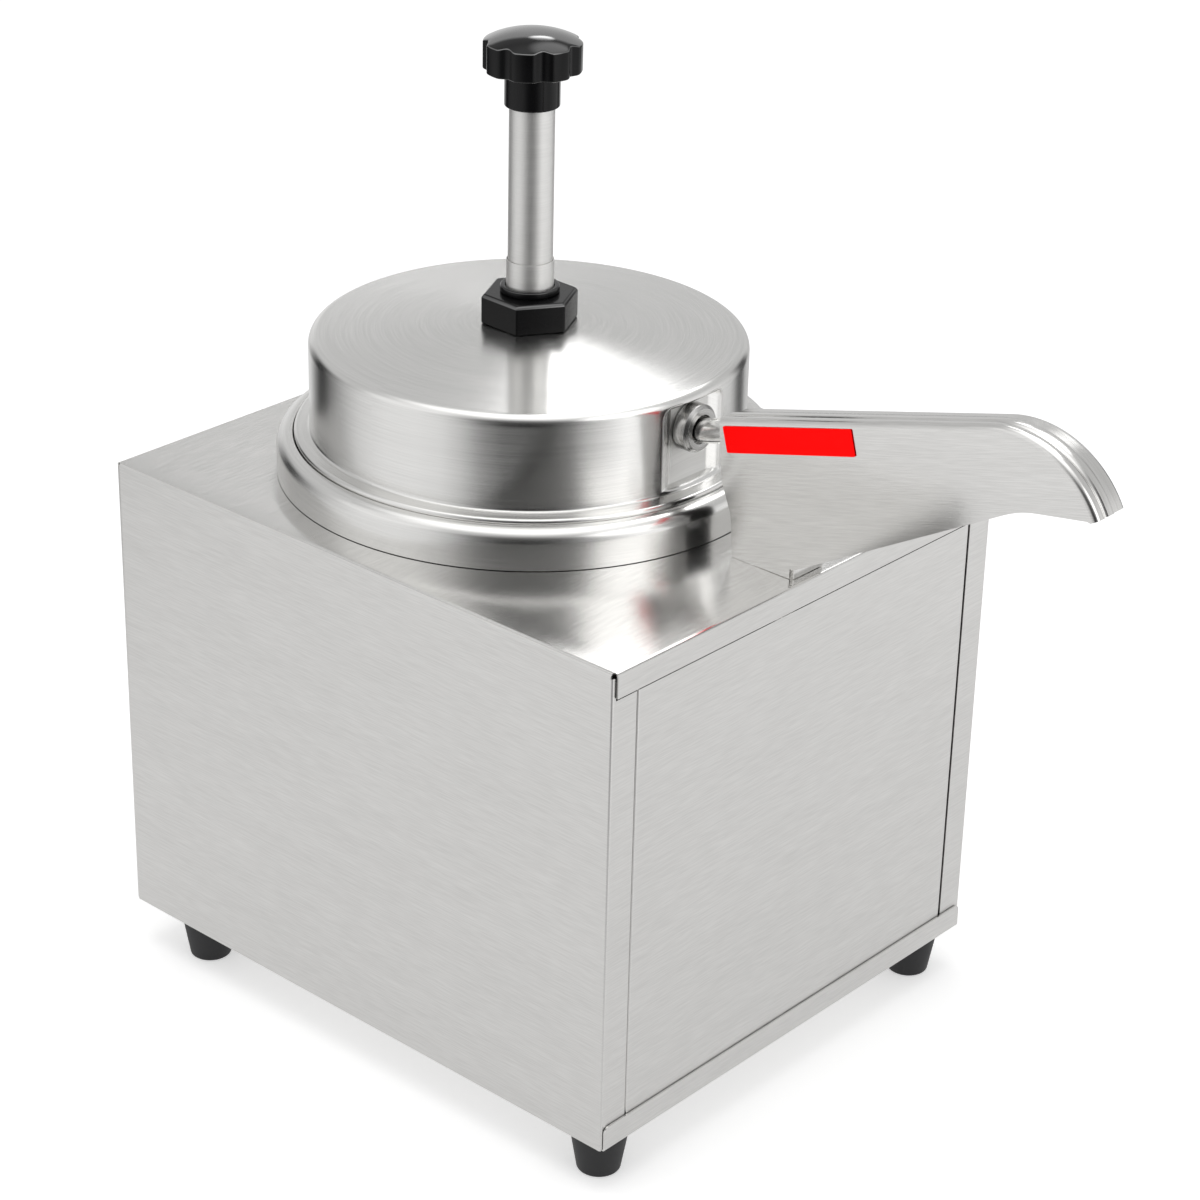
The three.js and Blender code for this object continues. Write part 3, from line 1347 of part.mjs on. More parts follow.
// Inner wires, each stopping just short of its two terminals
const wireGap = seat + wireRadius;
const glandEnd = cabinetDepth - glandThreadLength - seat;
const glandSide = (glandBore + glandThreadRadius) / 2;
const terminalY = (blockY[0] + blockY[1]) / 2;
const switchEnd = switchBack - wireGap;
const thermostatEnd = thermostatBack - wireGap;
const plateUnder = panUnder - seat - heaterPlateThickness - wireGap;
const plateReach = heaterPlateRadius / 2;
const wires = {
  wire_line: {
    material: brownWire,
    points: [
      [switchOffset - glandSide, glandEnd, glandHeight],
      [switchOffset - glandSide, glandEnd - wireGap, glandHeight],
      [switchOffset - glandSide, glandEnd - wireSag, glandHeight + wireSag / 2],
      [switchOffset - glandBore, switchEnd - wireSag, switchHeight - bezelHeight / 2],
      [switchOffset, switchEnd, switchHeight - housingHalf[1] / 2],
    ],
  },
  wire_neutral: {
    material: blueWire,
    points: [
      [switchOffset + glandSide, glandEnd, glandHeight],
      [switchOffset + glandSide, glandEnd - wireGap, glandHeight],
      [switchOffset + wireSag, glandEnd - wireSag, glandHeight],
      [terminalOffset - wireSag / 2, terminalY, blockTop + wireSag],
      [terminalOffset - terminalLength / 4, terminalY, blockTop + wireGap],
    ],
  },
  wire_switched: {
    material: brownWire,
    points: [
      [switchOffset, switchEnd, switchHeight + housingHalf[1] / 2],
      [switchOffset + wireSag, switchEnd - wireSag / 4, switchHeight + wireSag],
      [switchOffset / 3, panelBack - wireSag, switchHeight + wireSag],
      [dialOffset / 3, panelBack - wireSag, dialHeight + wireSag],
      [dialOffset - thermostatRadius, thermostatEnd - wireSag / 2, dialHeight + wireSag / 2],
      [dialOffset, thermostatEnd, dialHeight],
    ],
  },
  wire_heater: {
    material: brownWire,
    points: [
      [dialOffset + thermostatRadius / 2, thermostatEnd, dialHeight],
      [dialOffset + wireSag, thermostatEnd - wireSag, dialHeight - thermostatRadius],
      [dialOffset + wireSag / 2, wellSetback + plateReach + 2 * wireSag, panUnder - wireSag],
      [plateReach + wireSag / 2, wellSetback + plateReach, plateUnder - wireSag / 2],
      [plateReach, wellSetback + plateReach, plateUnder],
    ],
  },
  wire_return: {
    material: blueWire,
    points: [
      [terminalOffset + terminalLength / 4, terminalY, blockTop + wireGap],
      [terminalOffset + terminalLength / 4, terminalY - wireSag / 2, blockTop + wireSag / 2],
      [-plateReach, wellSetback + plateReach + wireSag, plateUnder - wireSag / 2],
      [-plateReach, wellSetback + plateReach, plateUnder],
    ],
  },
};
for (const [name, { material, points }] of Object.entries(wires)) {
  place(cabinet, name, pipe(smooth(points), wireRadius, { sides: 5, steps: 12 }), material);
}

export default warmer;
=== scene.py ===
# Hot fudge topping warmer: the finish and the fine shape of every piece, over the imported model.
# Sizes are in millimetres from the middle of the cabinet's front face, at its underside, unless a
# section says that they are from the middle of the well at deck height.
import math

import bmesh
import bpy
import numpy as np
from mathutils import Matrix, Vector


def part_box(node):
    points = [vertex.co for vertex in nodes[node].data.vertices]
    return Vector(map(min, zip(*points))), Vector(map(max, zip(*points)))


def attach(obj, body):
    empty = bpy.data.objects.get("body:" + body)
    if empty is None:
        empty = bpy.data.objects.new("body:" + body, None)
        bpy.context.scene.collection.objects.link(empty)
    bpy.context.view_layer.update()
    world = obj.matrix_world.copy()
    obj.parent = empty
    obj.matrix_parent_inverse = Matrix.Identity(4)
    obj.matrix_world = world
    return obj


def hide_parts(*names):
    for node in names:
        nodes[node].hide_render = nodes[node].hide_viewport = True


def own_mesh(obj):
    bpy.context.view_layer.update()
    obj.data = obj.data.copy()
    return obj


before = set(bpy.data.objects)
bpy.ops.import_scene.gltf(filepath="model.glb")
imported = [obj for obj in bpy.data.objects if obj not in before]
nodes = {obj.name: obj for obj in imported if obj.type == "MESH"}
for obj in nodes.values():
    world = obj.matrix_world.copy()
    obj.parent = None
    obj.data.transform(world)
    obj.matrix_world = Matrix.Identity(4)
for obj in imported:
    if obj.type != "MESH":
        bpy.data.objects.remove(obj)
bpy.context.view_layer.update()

# Camera
# A long lens above the left front corner, where the photograph was taken from.
camera = bpy.data.objects.new("camera", bpy.data.cameras.new("camera"))
bpy.context.scene.collection.objects.link(camera)
camera.location = (-0.97662, -0.82611, 0.83320)
camera.rotation_euler = [math.radians(angle) for angle in (63.979, -1.231, -48.069)]
camera.data.sensor_width = 36
camera.data.lens = 96.595
camera.data.clip_start, camera.data.clip_end = 0.05, 30
bpy.context.scene.camera = camera
bpy.context.scene.view_settings.view_transform = "Standard"


# Studio
# A white room with soft boxes and dark flags round it. Steel has no colour of its own, so what it
# shows is this ring of light and dark: it is set out by the angle from the camera's side.
def laid(tree, kind, feeds=(), **settings):
    """A new node in the tree, fed by sockets or by plain values"""
    node = tree.nodes.new(kind)
    for key, value in settings.items():
        setattr(node, key, value)
    for socket, feed in dict(feeds).items():
        if isinstance(feed, bpy.types.NodeSocket):
            tree.links.new(feed, node.inputs[socket])
        else:
            node.inputs[socket].default_value = feed
    return node


def reckon(tree, operation, *values):
    return laid(tree, "ShaderNodeMath", dict(enumerate(values)), operation=operation).outputs[0]


def eased_step(tree, value, low, high, first=0.0, last=1.0):
    feeds = {"Value": value, "From Min": low, "From Max": high, "To Min": first, "To Max": last}
    return laid(tree, "ShaderNodeMapRange", feeds, interpolation_type="SMOOTHSTEP").outputs[0]


# Degrees from the camera's side of the room, and how bright the room is there
camera_side = math.radians(-137.7)
ring_of_light = [
    (-180, 0.66), (-166, 0.86), (-150, 0.72), (-140, 0.30), (-132, 0.03), (-124, 0.04), (-114, 0.26),
    (-104, 0.50), (-92, 0.72), (-74, 0.88), (-56, 0.90), (-42, 0.82), (-32, 0.58), (-22, 0.22),
    (-12, 0.05), (0, 0.015), (11, 0.04), (21, 0.18), (31, 0.52), (40, 0.84), (50, 1.25), (60, 1.15),
    (74, 0.88), (98, 0.92), (124, 0.68), (134, 0.10), (141, 0.08), (149, 0.60), (180, 0.66),
]


def light_round(tree, direction):
    """The ring of light and dark, looked up by a direction's turn round the room"""
    turned_to_camera = laid(
        tree, "ShaderNodeVectorRotate", {"Vector": direction, "Angle": -camera_side}, rotation_type="Z_AXIS"
    )
    split = laid(tree, "ShaderNodeSeparateXYZ", {0: turned_to_camera.outputs[0]})
    angle = reckon(tree, "ARCTAN2", split.outputs["Y"], split.outputs["X"])
    place = reckon(tree, "MULTIPLY_ADD", angle, 0.5 / math.pi, 0.5)
    ramp = laid(tree, "ShaderNodeValToRGB", {"Fac": place})
    stops = ramp.color_ramp.elements
    while len(stops) < len(ring_of_light):
        stops.new(0.5)
    for stop, (degrees, level) in zip(stops, ring_of_light):
        stop.position = degrees / 360 + 0.5
        stop.color = (level, level, level, 1)
    return ramp.outputs["Color"]


def soft_box(tree, direction, degrees, height, width, strength):
    """A round soft box: degrees from the camera's side, degrees up, half its width in degrees"""
    turn, tilt = camera_side + math.radians(degrees), math.radians(height)
    aim = (math.cos(turn) * math.cos(tilt), math.sin(turn) * math.cos(tilt), math.sin(tilt))
    facing = laid(tree, "ShaderNodeVectorMath", {0: direction, 1: aim}, operation="DOT_PRODUCT")
    edge, core = math.cos(math.radians(width * 1.5)), math.cos(math.radians(width * 0.7))
    return reckon(tree, "MULTIPLY", eased_step(tree, facing.outputs["Value"], edge, core), strength)


world = bpy.data.worlds.new("studio")
bpy.context.scene.world = world
world.use_nodes = True
room = world.node_tree
room.nodes.clear()
direction = laid(room, "ShaderNodeTexCoord").outputs["Generated"]
rays = laid(room, "ShaderNodeLightPath")
height = laid(room, "ShaderNodeSeparateXYZ", {0: direction}).outputs["Z"]
overhead = eased_step(room, height, 0.10, 0.45)
ring = light_round(room, direction)
ceiling_level, zenith_glow = 0.60, 0.9
ceiling = reckon(room, "ADD", ceiling_level, eased_step(room, height, 0.74, 0.97, 0.0, zenith_glow))
soft_boxes = [(153, 56, 13, 3.2), (175.5, 36.5, 4.5, 3.2), (53, 30, 17, 1.2), (-70, 34, 20, 0.35)]
dark_flag = (0, 12, 26, 0.5)
for box in soft_boxes:
    ceiling = reckon(room, "ADD", ceiling, soft_box(room, direction, *box))
ceiling = reckon(room, "SUBTRACT", ceiling, soft_box(room, direction, *dark_flag))
seen_in_steel = laid(room, "ShaderNodeMix", {"Factor": overhead, 2: ring, 3: ceiling}).outputs[0]
in_steel = laid(room, "ShaderNodeBackground", {"Color": seen_in_steel})
room_light = laid(room, "ShaderNodeBackground", {"Color": (0.62, 0.62, 0.62, 1)})
white_card = laid(room, "ShaderNodeBackground", {"Color": (1, 1, 1, 1)})
to_steel = laid(
    room,
    "ShaderNodeMixShader",
    {0: rays.outputs["Is Glossy Ray"], 1: room_light.outputs[0], 2: in_steel.outputs[0]},
)
plain_view = reckon(room, "MAXIMUM", rays.outputs["Is Camera Ray"], rays.outputs["Is Transmission Ray"])
to_camera = laid(
    room, "ShaderNodeMixShader", {0: plain_view, 1: to_steel.outputs[0], 2: white_card.outputs[0]}
)
laid(room, "ShaderNodeOutputWorld", {0: to_camera.outputs[0]})

# The floor is a white sheet. In the steel it also carries the ring of light, from half a metre out.
floor_half = 6
floor_mesh = bpy.data.meshes.new("floor")
floor_mesh.from_pydata(
    [(x * floor_half, y * floor_half, 0) for x, y in [(-1, -1), (1, -1), (1, 1), (-1, 1)]], [], [(0, 1, 2, 3)]
)
floor = bpy.data.objects.new("floor", floor_mesh)
bpy.context.scene.collection.objects.link(floor)
paper = bpy.data.materials.new("white_paper")
paper.use_nodes = True
sheet_tree = paper.node_tree
sheet_tree.nodes.clear()
on_floor = laid(sheet_tree, "ShaderNodeTexCoord").outputs["Object"]
lid_foot = (0, 0.0781, 0)
from_lid = laid(
    sheet_tree, "ShaderNodeVectorMath", {0: on_floor, 1: lid_foot}, operation="SUBTRACT"
).outputs[0]
reach = laid(sheet_tree, "ShaderNodeVectorMath", {0: from_lid}, operation="LENGTH").outputs["Value"]
glow = laid(
    sheet_tree,
    "ShaderNodeMix",
    {"Factor": eased_step(sheet_tree, reach, 0.52, 0.70), 2: 0.78, 3: light_round(sheet_tree, from_lid)},
).outputs[0]
paper_rays = laid(sheet_tree, "ShaderNodeLightPath")
lit = laid(sheet_tree, "ShaderNodeBsdfDiffuse", {"Color": (0.86, 0.86, 0.86, 1)})
seen_plainly = reckon(
    sheet_tree, "MAXIMUM", paper_rays.outputs["Is Camera Ray"], paper_rays.outputs["Is Transmission Ray"]
)
own_level, seen_level = 0.20, 0.26
own_strength = reckon(sheet_tree, "MULTIPLY_ADD", seen_plainly, seen_level, own_level)
own = laid(sheet_tree, "ShaderNodeEmission", {"Color": (1, 1, 1, 1), "Strength": own_strength})
lit_in_steel = laid(
    sheet_tree, "ShaderNodeBsdfDiffuse", {"Color": reckon(sheet_tree, "MULTIPLY", glow, 0.45)}
)
own_in_steel = laid(sheet_tree, "ShaderNodeEmission", {"Color": reckon(sheet_tree, "MULTIPLY", glow, 0.62)})
plain = laid(sheet_tree, "ShaderNodeAddShader", {0: lit.outputs[0], 1: own.outputs[0]})
mirrored = laid(sheet_tree, "ShaderNodeAddShader", {0: lit_in_steel.outputs[0], 1: own_in_steel.outputs[0]})
both = laid(
    sheet_tree,
    "ShaderNodeMixShader",
    {0: paper_rays.outputs["Is Glossy Ray"], 1: plain.outputs[0], 2: mirrored.outputs[0]},
)
laid(sheet_tree, "ShaderNodeOutputMaterial", {0: both.outputs[0]})
floor_mesh.materials.append(paper)

lamp_head = bpy.data.lights.new("overhead_lamp", "AREA")
lamp_head.shape = "DISK"
lamp_head.size = 1.6
lamp_head.energy = 11
overhead_lamp = bpy.data.objects.new("overhead_lamp", lamp_head)
overhead_lamp.location = (-0.2, 0.1, 1.9)
overhead_lamp.visible_glossy = False
bpy.context.scene.collection.objects.link(overhead_lamp)


# Cabinet wrap
# One sheet of 0.8 mm stainless, brushed, folded into the left side, the deck and the right side. Its
# sides turn in at the front and the rear, and the deck turns down in front as a narrow band.
def group_of(name, inputs, outputs):
    """An empty shader node group with the inputs and outputs given"""
    tree = bpy.data.node_groups.new(name, "ShaderNodeTree")
    for label, kind, value in inputs:
        socket = tree.interface.new_socket(label, in_out="INPUT", socket_type=kind)
        if value is not None:
            socket.default_value = value
    for label, kind in outputs:
        tree.interface.new_socket(label, in_out="OUTPUT", socket_type=kind)
    return tree, laid(tree, "NodeGroupInput").outputs, laid(tree, "NodeGroupOutput").inputs


# Abrasive lines: long thin streaks from three passes of the belt, given the distance across the
# grain and along it in metres
brushing, into, out = group_of(
    "abrasive_lines",
    [("Across", "NodeSocketFloat", None), ("Along", "NodeSocketFloat", None),
     ("Lines per mm", "NodeSocketFloat", 2.0), ("Length mm", "NodeSocketFloat", 14.0)],
    [("Lines", "NodeSocketFloat"), ("Shade", "NodeSocketFloat")],
)
millimetres = 1000.0
across_mm = reckon(brushing, "MULTIPLY", into["Across"], millimetres)
along_mm = reckon(brushing, "MULTIPLY", into["Along"], millimetres)
passes = []
for spread, stretch, weight in [(1.0, 1.0, 0.5), (2.3, 0.6, 0.3), (0.33, 2.2, 0.2)]:
    lines_per_mm = reckon(brushing, "MULTIPLY", into["Lines per mm"], spread)
    line_place = reckon(brushing, "MULTIPLY", across_mm, lines_per_mm)
    streak_length = reckon(brushing, "MULTIPLY", into["Length mm"], stretch)
    streak_place = reckon(brushing, "DIVIDE", along_mm, streak_length)
    on_belt = laid(brushing, "ShaderNodeCombineXYZ", {"X": line_place, "Y": streak_place}).outputs[0]
    noise = laid(
        brushing,
        "ShaderNodeTexNoise",
        {"Vector": on_belt, "Scale": 1.0, "Detail": 1.5},
        noise_dimensions="2D",
    )
    passes.append(reckon(brushing, "MULTIPLY", noise.outputs["Fac"], weight))
lines = reckon(brushing, "ADD", reckon(brushing, "ADD", passes[0], passes[1]), passes[2])
brushing.links.new(eased_step(brushing, lines, 0.32, 0.68), out["Lines"])
broad_across = reckon(brushing, "MULTIPLY", across_mm, 0.10)
broad_along = reckon(brushing, "MULTIPLY", along_mm, 0.012)
on_broad = laid(brushing, "ShaderNodeCombineXYZ", {"X": broad_across, "Y": broad_along}).outputs[0]
broad = laid(
    brushing, "ShaderNodeTexNoise", {"Vector": on_broad, "Scale": 1.0, "Detail": 3.0}, noise_dimensions="2D"
)
brushing.links.new(broad.outputs["Fac"], out["Shade"])

# Handling: soft cloudy patches and a few hairline scratches, where hands and cloths have been
handling, into, out = group_of(
    "handling",
    [("Vector", "NodeSocketVector", None), ("Patch mm", "NodeSocketFloat", 60.0)],
    [("Smear", "NodeSocketFloat"), ("Scratch", "NodeSocketFloat")],
)
scale = reckon(handling, "DIVIDE", millimetres, into["Patch mm"])
cloud = laid(handling, "ShaderNodeTexNoise", {"Vector": into["Vector"], "Scale": scale, "Detail": 4.0})
handling.links.new(eased_step(handling, cloud.outputs["Fac"], 0.35, 0.70), out["Smear"])
hair = laid(
    handling,
    "ShaderNodeTexVoronoi",
    {"Vector": cloud.outputs["Color"], "Scale": 9.0},
    feature="DISTANCE_TO_EDGE",
)
handling.links.new(eased_step(handling, hair.outputs["Distance"], 0.006, 0.0), out["Scratch"])


def new_material(name, slot):
    """A bare Principled material, with its tree and its shader"""
    material = bpy.data.materials.new(name)
    material.use_nodes = True
    material["slot"] = slot
    tree = material.node_tree
    tree.nodes.clear()
    shader = laid(tree, "ShaderNodeBsdfPrincipled")
    laid(tree, "ShaderNodeOutputMaterial", {0: shader.outputs[0]})
    return material, tree, shader


def placed_group(tree, group, feeds):
    return laid(tree, "ShaderNodeGroup", feeds, node_tree=group).outputs


def mixed_colour(tree, factor, first, second):
    feeds = {0: factor, 6: (*first, 1), 7: (*second, 1)}
    return laid(tree, "ShaderNodeMix", feeds, data_type="RGBA").outputs[2]


def brushed_metal(
    name, slot, dark, light, rough, spread, across, along, tangent,
    relief=0.02, lines=2.0, length=14.0, on_top=1.0,
):
    """Steel with a grain: functions of the tree give across, along and the tangent; on_top is how much of
    the roughness the faces that look up keep"""
    material, tree, shader = new_material(name, slot)
    coords = laid(tree, "ShaderNodeTexCoord")
    grain = placed_group(
        tree,
        brushing,
        {"Across": across(tree, coords), "Along": along(tree, coords),
         "Lines per mm": lines, "Length mm": length},
    )
    hands = placed_group(tree, handling, {"Vector": coords.outputs["Object"]})
    lines_share = 0.62
    fine_tone = reckon(tree, "MULTIPLY", grain["Lines"], lines_share)
    tone = reckon(tree, "ADD", fine_tone, reckon(tree, "MULTIPLY", grain["Shade"], 1 - lines_share))
    tree.links.new(mixed_colour(tree, tone, dark, light), shader.inputs["Base Color"])
    shader.inputs["Metallic"].default_value = 1.0
    varied = reckon(tree, "MULTIPLY_ADD", grain["Lines"], 0.10 * rough, rough * 0.93)
    varied = reckon(tree, "MULTIPLY_ADD", hands["Smear"], 0.06 * rough, varied)
    if on_top < 1:
        varied = reckon(tree, "MULTIPLY", varied, blended(tree, facing_mask(tree, coords, "Z"), 1.0, on_top))
    tree.links.new(varied, shader.inputs["Roughness"])
    shader.inputs["Anisotropic"].default_value = spread
    if tangent:
        tree.links.new(tangent(tree, coords), shader.inputs["Tangent"])
    cut_depth = reckon(tree, "SUBTRACT", grain["Lines"], hands["Scratch"])
    bump = laid(tree, "ShaderNodeBump", {"Strength": relief, "Distance": 0.0002, "Height": cut_depth})
    tree.links.new(bump.outputs[0], shader.inputs["Normal"])
    return material


def facing_mask(tree, coords, axis):
    normal = laid(tree, "ShaderNodeSeparateXYZ", {0: coords.outputs["Normal"]}).outputs[axis]
    return reckon(tree, "GREATER_THAN", reckon(tree, "ABSOLUTE", normal), 0.7)


def blended(tree, factor, first, second):
    return laid(tree, "ShaderNodeMix", {0: factor, 2: first, 3: second}).outputs[0]


# On a folded panel the grain runs along the front on the deck and the front, and back along the sides
def panel_across(tree, coords):
    split = laid(tree, "ShaderNodeSeparateXYZ", {0: coords.outputs["Object"]}).outputs
    return blended(tree, facing_mask(tree, coords, "Z"), split["Z"], split["Y"])


def panel_along(tree, coords):
    split = laid(tree, "ShaderNodeSeparateXYZ", {0: coords.outputs["Object"]}).outputs
    return blended(tree, facing_mask(tree, coords, "X"), split["X"], split["Y"])


def panel_tangent(tree, coords):
    deck = facing_mask(tree, coords, "Z")
    off_deck = reckon(tree, "SUBTRACT", 1.0, deck)
    return laid(tree, "ShaderNodeCombineXYZ", {"Y": deck, "Z": off_deck}).outputs[0]


brushed_sheet = brushed_metal(
    "brushed_sheet", "brushed", (0.70, 0.693, 0.678), (0.83, 0.823, 0.808), 0.34, 0.72,
    panel_across, panel_along, panel_tangent, relief=0.035, on_top=0.52,
)

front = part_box("cabinet_wrap")[0].y
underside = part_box("base_tray")[0].z


class Form:
    """Points in millimetres and the faces between them"""

    def __init__(self, shift=(0, 0, 0)):
        self.points, self.faces, self.shift = [], [], shift

    def put(self, points):
        start = len(self.points)
        self.points += [tuple(p[i] + self.shift[i] for i in range(3)) for p in points]
        return list(range(start, start + len(points)))

    def grid(self, rows, around=False, along=False):
        index = [self.put(row) for row in rows]
        if along:
            index.append(index[0])
        for here, there in zip(index, index[1:]):
            count = len(here)
            for k in range(count if around else count - 1):
                after = (k + 1) % count
                self.faces.append((here[k], here[after], there[after], there[k]))
        return self

    def face(self, points):
        self.faces.append(tuple(self.put(points)))
        return self

    def prism(self, outline, near, far):
        """outline pushed from near to far, which each turn one of its points into a place"""
        first, last = [near(p) for p in outline], [far(p) for p in outline]
        self.grid([first, last], around=True)
        self.face(first)
        return self.face(last)


def arc(u, v, radius, start, end, steps=8):
    """Points round the centre u, v from one angle to another, in degrees"""
    angles = [math.radians(start + (end - start) * i / steps) for i in range(steps + 1)]
    return [(u + radius * math.cos(a), v + radius * math.sin(a)) for a in angles]


weld = 2e-6
sliver = 1e-7


def loose(form, name, origin=(0.0, front, underside)):
    """A form made a piece, in metres: its doubled points merged and its faces turned outwards"""
    mesh = bpy.data.meshes.new(name)
    places = [tuple(start + size / 1000 for start, size in zip(origin, point)) for point in form.points]
    mesh.from_pydata(places, [], form.faces)
    shape = bmesh.new()
    shape.from_mesh(mesh)
    bmesh.ops.remove_doubles(shape, verts=shape.verts, dist=weld)
    bmesh.ops.dissolve_degenerate(shape, edges=shape.edges, dist=sliver)
    bmesh.ops.recalc_face_normals(shape, faces=shape.faces)
    shape.to_mesh(mesh)
    shape.free()
    piece = bpy.data.objects.new(name, mesh)
    bpy.context.scene.collection.objects.link(piece)
    return piece


def baked(piece):
    """The piece with its modifiers made part of its mesh"""
    bpy.context.view_layer.update()
    graph = bpy.context.evaluated_depsgraph_get()
    mesh = bpy.data.meshes.new_from_object(piece.evaluated_get(graph))
    piece.modifiers.clear()
    old, piece.data = piece.data, mesh
    bpy.data.meshes.remove(old)
    return piece


def folded(piece, wall):
    """Gives a sheet its thickness, inwards"""
    skin = piece.modifiers.new("wall", "SOLIDIFY")
    skin.thickness = wall / 1000
    skin.offset = -1
    skin.use_even_offset = True
    return baked(piece)


def cut_by(piece, *tools):
    """The piece less each tool, which is used up"""
    for tool in tools:
        cutter = piece.modifiers.new("cut", "BOOLEAN")
        cutter.operation = "DIFFERENCE"
        cutter.solver = "EXACT"
        cutter.object = tool
        baked(piece)
        bpy.data.objects.remove(tool)
    return piece


def finished(piece, body, material, *replaced, crease=32):
    """The piece with its material, in place of the solids named, riding on its body"""
    piece.data.materials.clear()
    piece.data.materials.append(material)
    piece.data.shade_smooth()
    piece.data.set_sharp_from_angle(angle=math.radians(crease))
    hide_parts(*replaced)
    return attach(piece, body)


cabinet_half = 127.5
cabinet_depth = 300
deck_height = 228
deck_bend = 2.2
side_bend = 1.1
band_bend = 1.4
flange_face = 1.1
rear_face = cabinet_depth - 1.1
flange_width = 15
flange_foot = 1.1
band_height = 11.3
sheet = 0.8
well_back = 166.2

# Rows of points run close beside each bend, so that the flats stay flat
beside_bend = 0.8
rear_bend_start, front_bend_end = rear_face - side_bend, flange_face + side_bend
flat_y = list(np.linspace(rear_bend_start - beside_bend, front_bend_end + beside_bend, 25))
deck_y = [rear_bend_start, *flat_y, front_bend_end]


def wrap_path():
    """The side's outline seen from above: rear flange, side and front flange, as distances in and back"""
    front_turn = arc(side_bend, front_bend_end, side_bend, 180, 270, 5)
    rear_turn = arc(side_bend, rear_bend_start, side_bend, 90, 180, 5)
    flange_start = side_bend + beside_bend
    return [(flange_width, rear_face), (flange_start, rear_face), *rear_turn, *[(0, y) for y in flat_y],
            *front_turn, (flange_start, flange_face), (flange_width, flange_face)]


wrap = Form()
bend_foot = deck_height - deck_bend
side_levels = [0, *np.linspace(1.5, bend_foot - beside_bend, 12), bend_foot]
for side in (-1, 1):
    rows = []
    for z in side_levels:
        on_side = [(inward, y, max(z, flange_foot) if inward > 0.5 else z) for inward, y in wrap_path()]
        rows.append([(side * (cabinet_half - inward), y, level) for inward, y, level in on_side])
    wrap.grid(rows)
    bend = arc(0, 0, deck_bend, 0, 90, 6)
    wrap.grid([[(side * (cabinet_half - deck_bend + u), y, bend_foot + v) for y in deck_y] for u, v in bend])
band_foot = deck_height - band_height
deck_front = [
    (front_bend_end, deck_height),
    *arc(band_bend, deck_height - band_bend, band_bend, 90, 180, 6),
    (0, deck_height - band_bend - beside_bend),
    (0, band_foot + 0.4),
    (0, band_foot),
]
deck_x = np.linspace(-cabinet_half + deck_bend, cabinet_half - deck_bend, 17)
wrap.grid([[(x, y, deck_height) for x in deck_x] for y in deck_y])
wrap.grid([[(x, y, z) for x in deck_x] for y, z in deck_front])
deck_rear = [
    *arc(rear_bend_start, deck_height - side_bend, side_bend, 90, 0, 5),
    (rear_face, deck_height - 3),
    (rear_face, deck_height - flange_width),
]
wrap.grid([[(x, y, z) for x in deck_x] for y, z in deck_rear])
cabinet_wrap = folded(loose(wrap, "cabinet_wrap_brushed"), sheet)


# The deck is cut for the well and, under the shroud, with a slot that lets warm air up to the tube
def through_deck(outline, shift, name):
    tool = Form(shift)
    overrun = 9
    tool.prism(outline, lambda p: (*p, deck_height - overrun), lambda p: (*p, deck_height + overrun))
    return loose(tool, name)


well_hole = 97.3
well_opening = through_deck(arc(0, 0, well_hole, 0, 360, 128)[:-1], (0, well_back, 0), "well_opening")
slot_near, slot_far, slot_corner, slot_straight = 14, 30, 2, 4
slot_ends = arc(0, slot_far, slot_corner, 0, 180, 8) + arc(0, slot_near, slot_corner, 180, 360, 8)
slot_outline = [(u + math.copysign(slot_straight, u), v) for u, v in slot_ends]
air_slot = through_deck(slot_outline, (0, 0, 0), "air_slot")


def shadow_gap(half, name):
    """The open line behind the foot of the deck's front band"""
    gap = Form()
    near, far, low, high = 0.9, 3.2, band_foot - 1.3, band_foot + 0.8
    corners = [(near, low), (far, low), (far, high), (near, high)]
    gap.prism(corners, lambda p: (-half, *p), lambda p: (half, *p))
    return loose(gap, name)


cut_by(cabinet_wrap, well_opening, air_slot, shadow_gap(cabinet_half - 2.4, "flange_gap"))
finished(cabinet_wrap, "cabinet", brushed_sheet, "cabinet_wrap")

# Base tray
# The bottom sheet, turned up all round. Its front edge laps over the wrap as the band along the foot
# of the front, with two rounded upper corners.
tray_half = cabinet_half - 1.1
band_half = cabinet_half - 1.2
band_top = 11.7
band_round = 3.0
tray = Form()
round_x = [-band_half + band_round * (1 - math.cos(a)) for a in np.linspace(0, math.pi / 2, 9)]
straight_x = list(np.linspace(-band_half + band_round, band_half - band_round, 15))[1:-1]
band_x = round_x + straight_x + [-x for x in reversed(round_x)]
tray_x = [max(-tray_half, min(tray_half, x)) for x in band_x]
foot_turn = arc(sheet, sheet, sheet, 180, 270, 4)


def band_edge(x):
    inset = max(0.0, band_round - (band_half - abs(x)))
    return band_top - band_round + math.sqrt(max(0.0, band_round**2 - inset**2))


for_height = (1, 0.96, 0.5, 0.04, 0)
tray.grid([[(x, 0, sheet + (band_edge(x) - sheet) * share) for x in band_x] for share in for_height])
tray.grid([[(x, y, z) for x in band_x] for y, z in foot_turn])
floor_start, flange_middle = 2.2, 4
floor_y = [floor_start, *np.linspace(10, rear_face - 2, 10), rear_face - sheet]
tray.grid([[(x, y, 0) for x in tray_x] for y in floor_y])
tray.grid([[(x, sheet, 0) for x in band_x], [(x, floor_start, 0) for x in tray_x]])
tray_rear = [(rear_face - sheet + sheet * math.sin(a), sheet - sheet * math.cos(a))
             for a in np.linspace(0, math.pi / 2, 4)]
tray.grid([[(x, y, z) for x in tray_x] for y, z in tray_rear])
tray.grid([[(x, rear_face, z) for x in tray_x] for z in (sheet, flange_middle, band_top)])
for side in (-1, 1):
    tray.grid([[(side * tray_half, y, z) for y in floor_y] for z in (0, flange_middle, band_top)])
base_tray = folded(loose(tray, "base_tray_brushed"), sheet)
finished(base_tray, "cabinet", brushed_sheet, "base_tray")

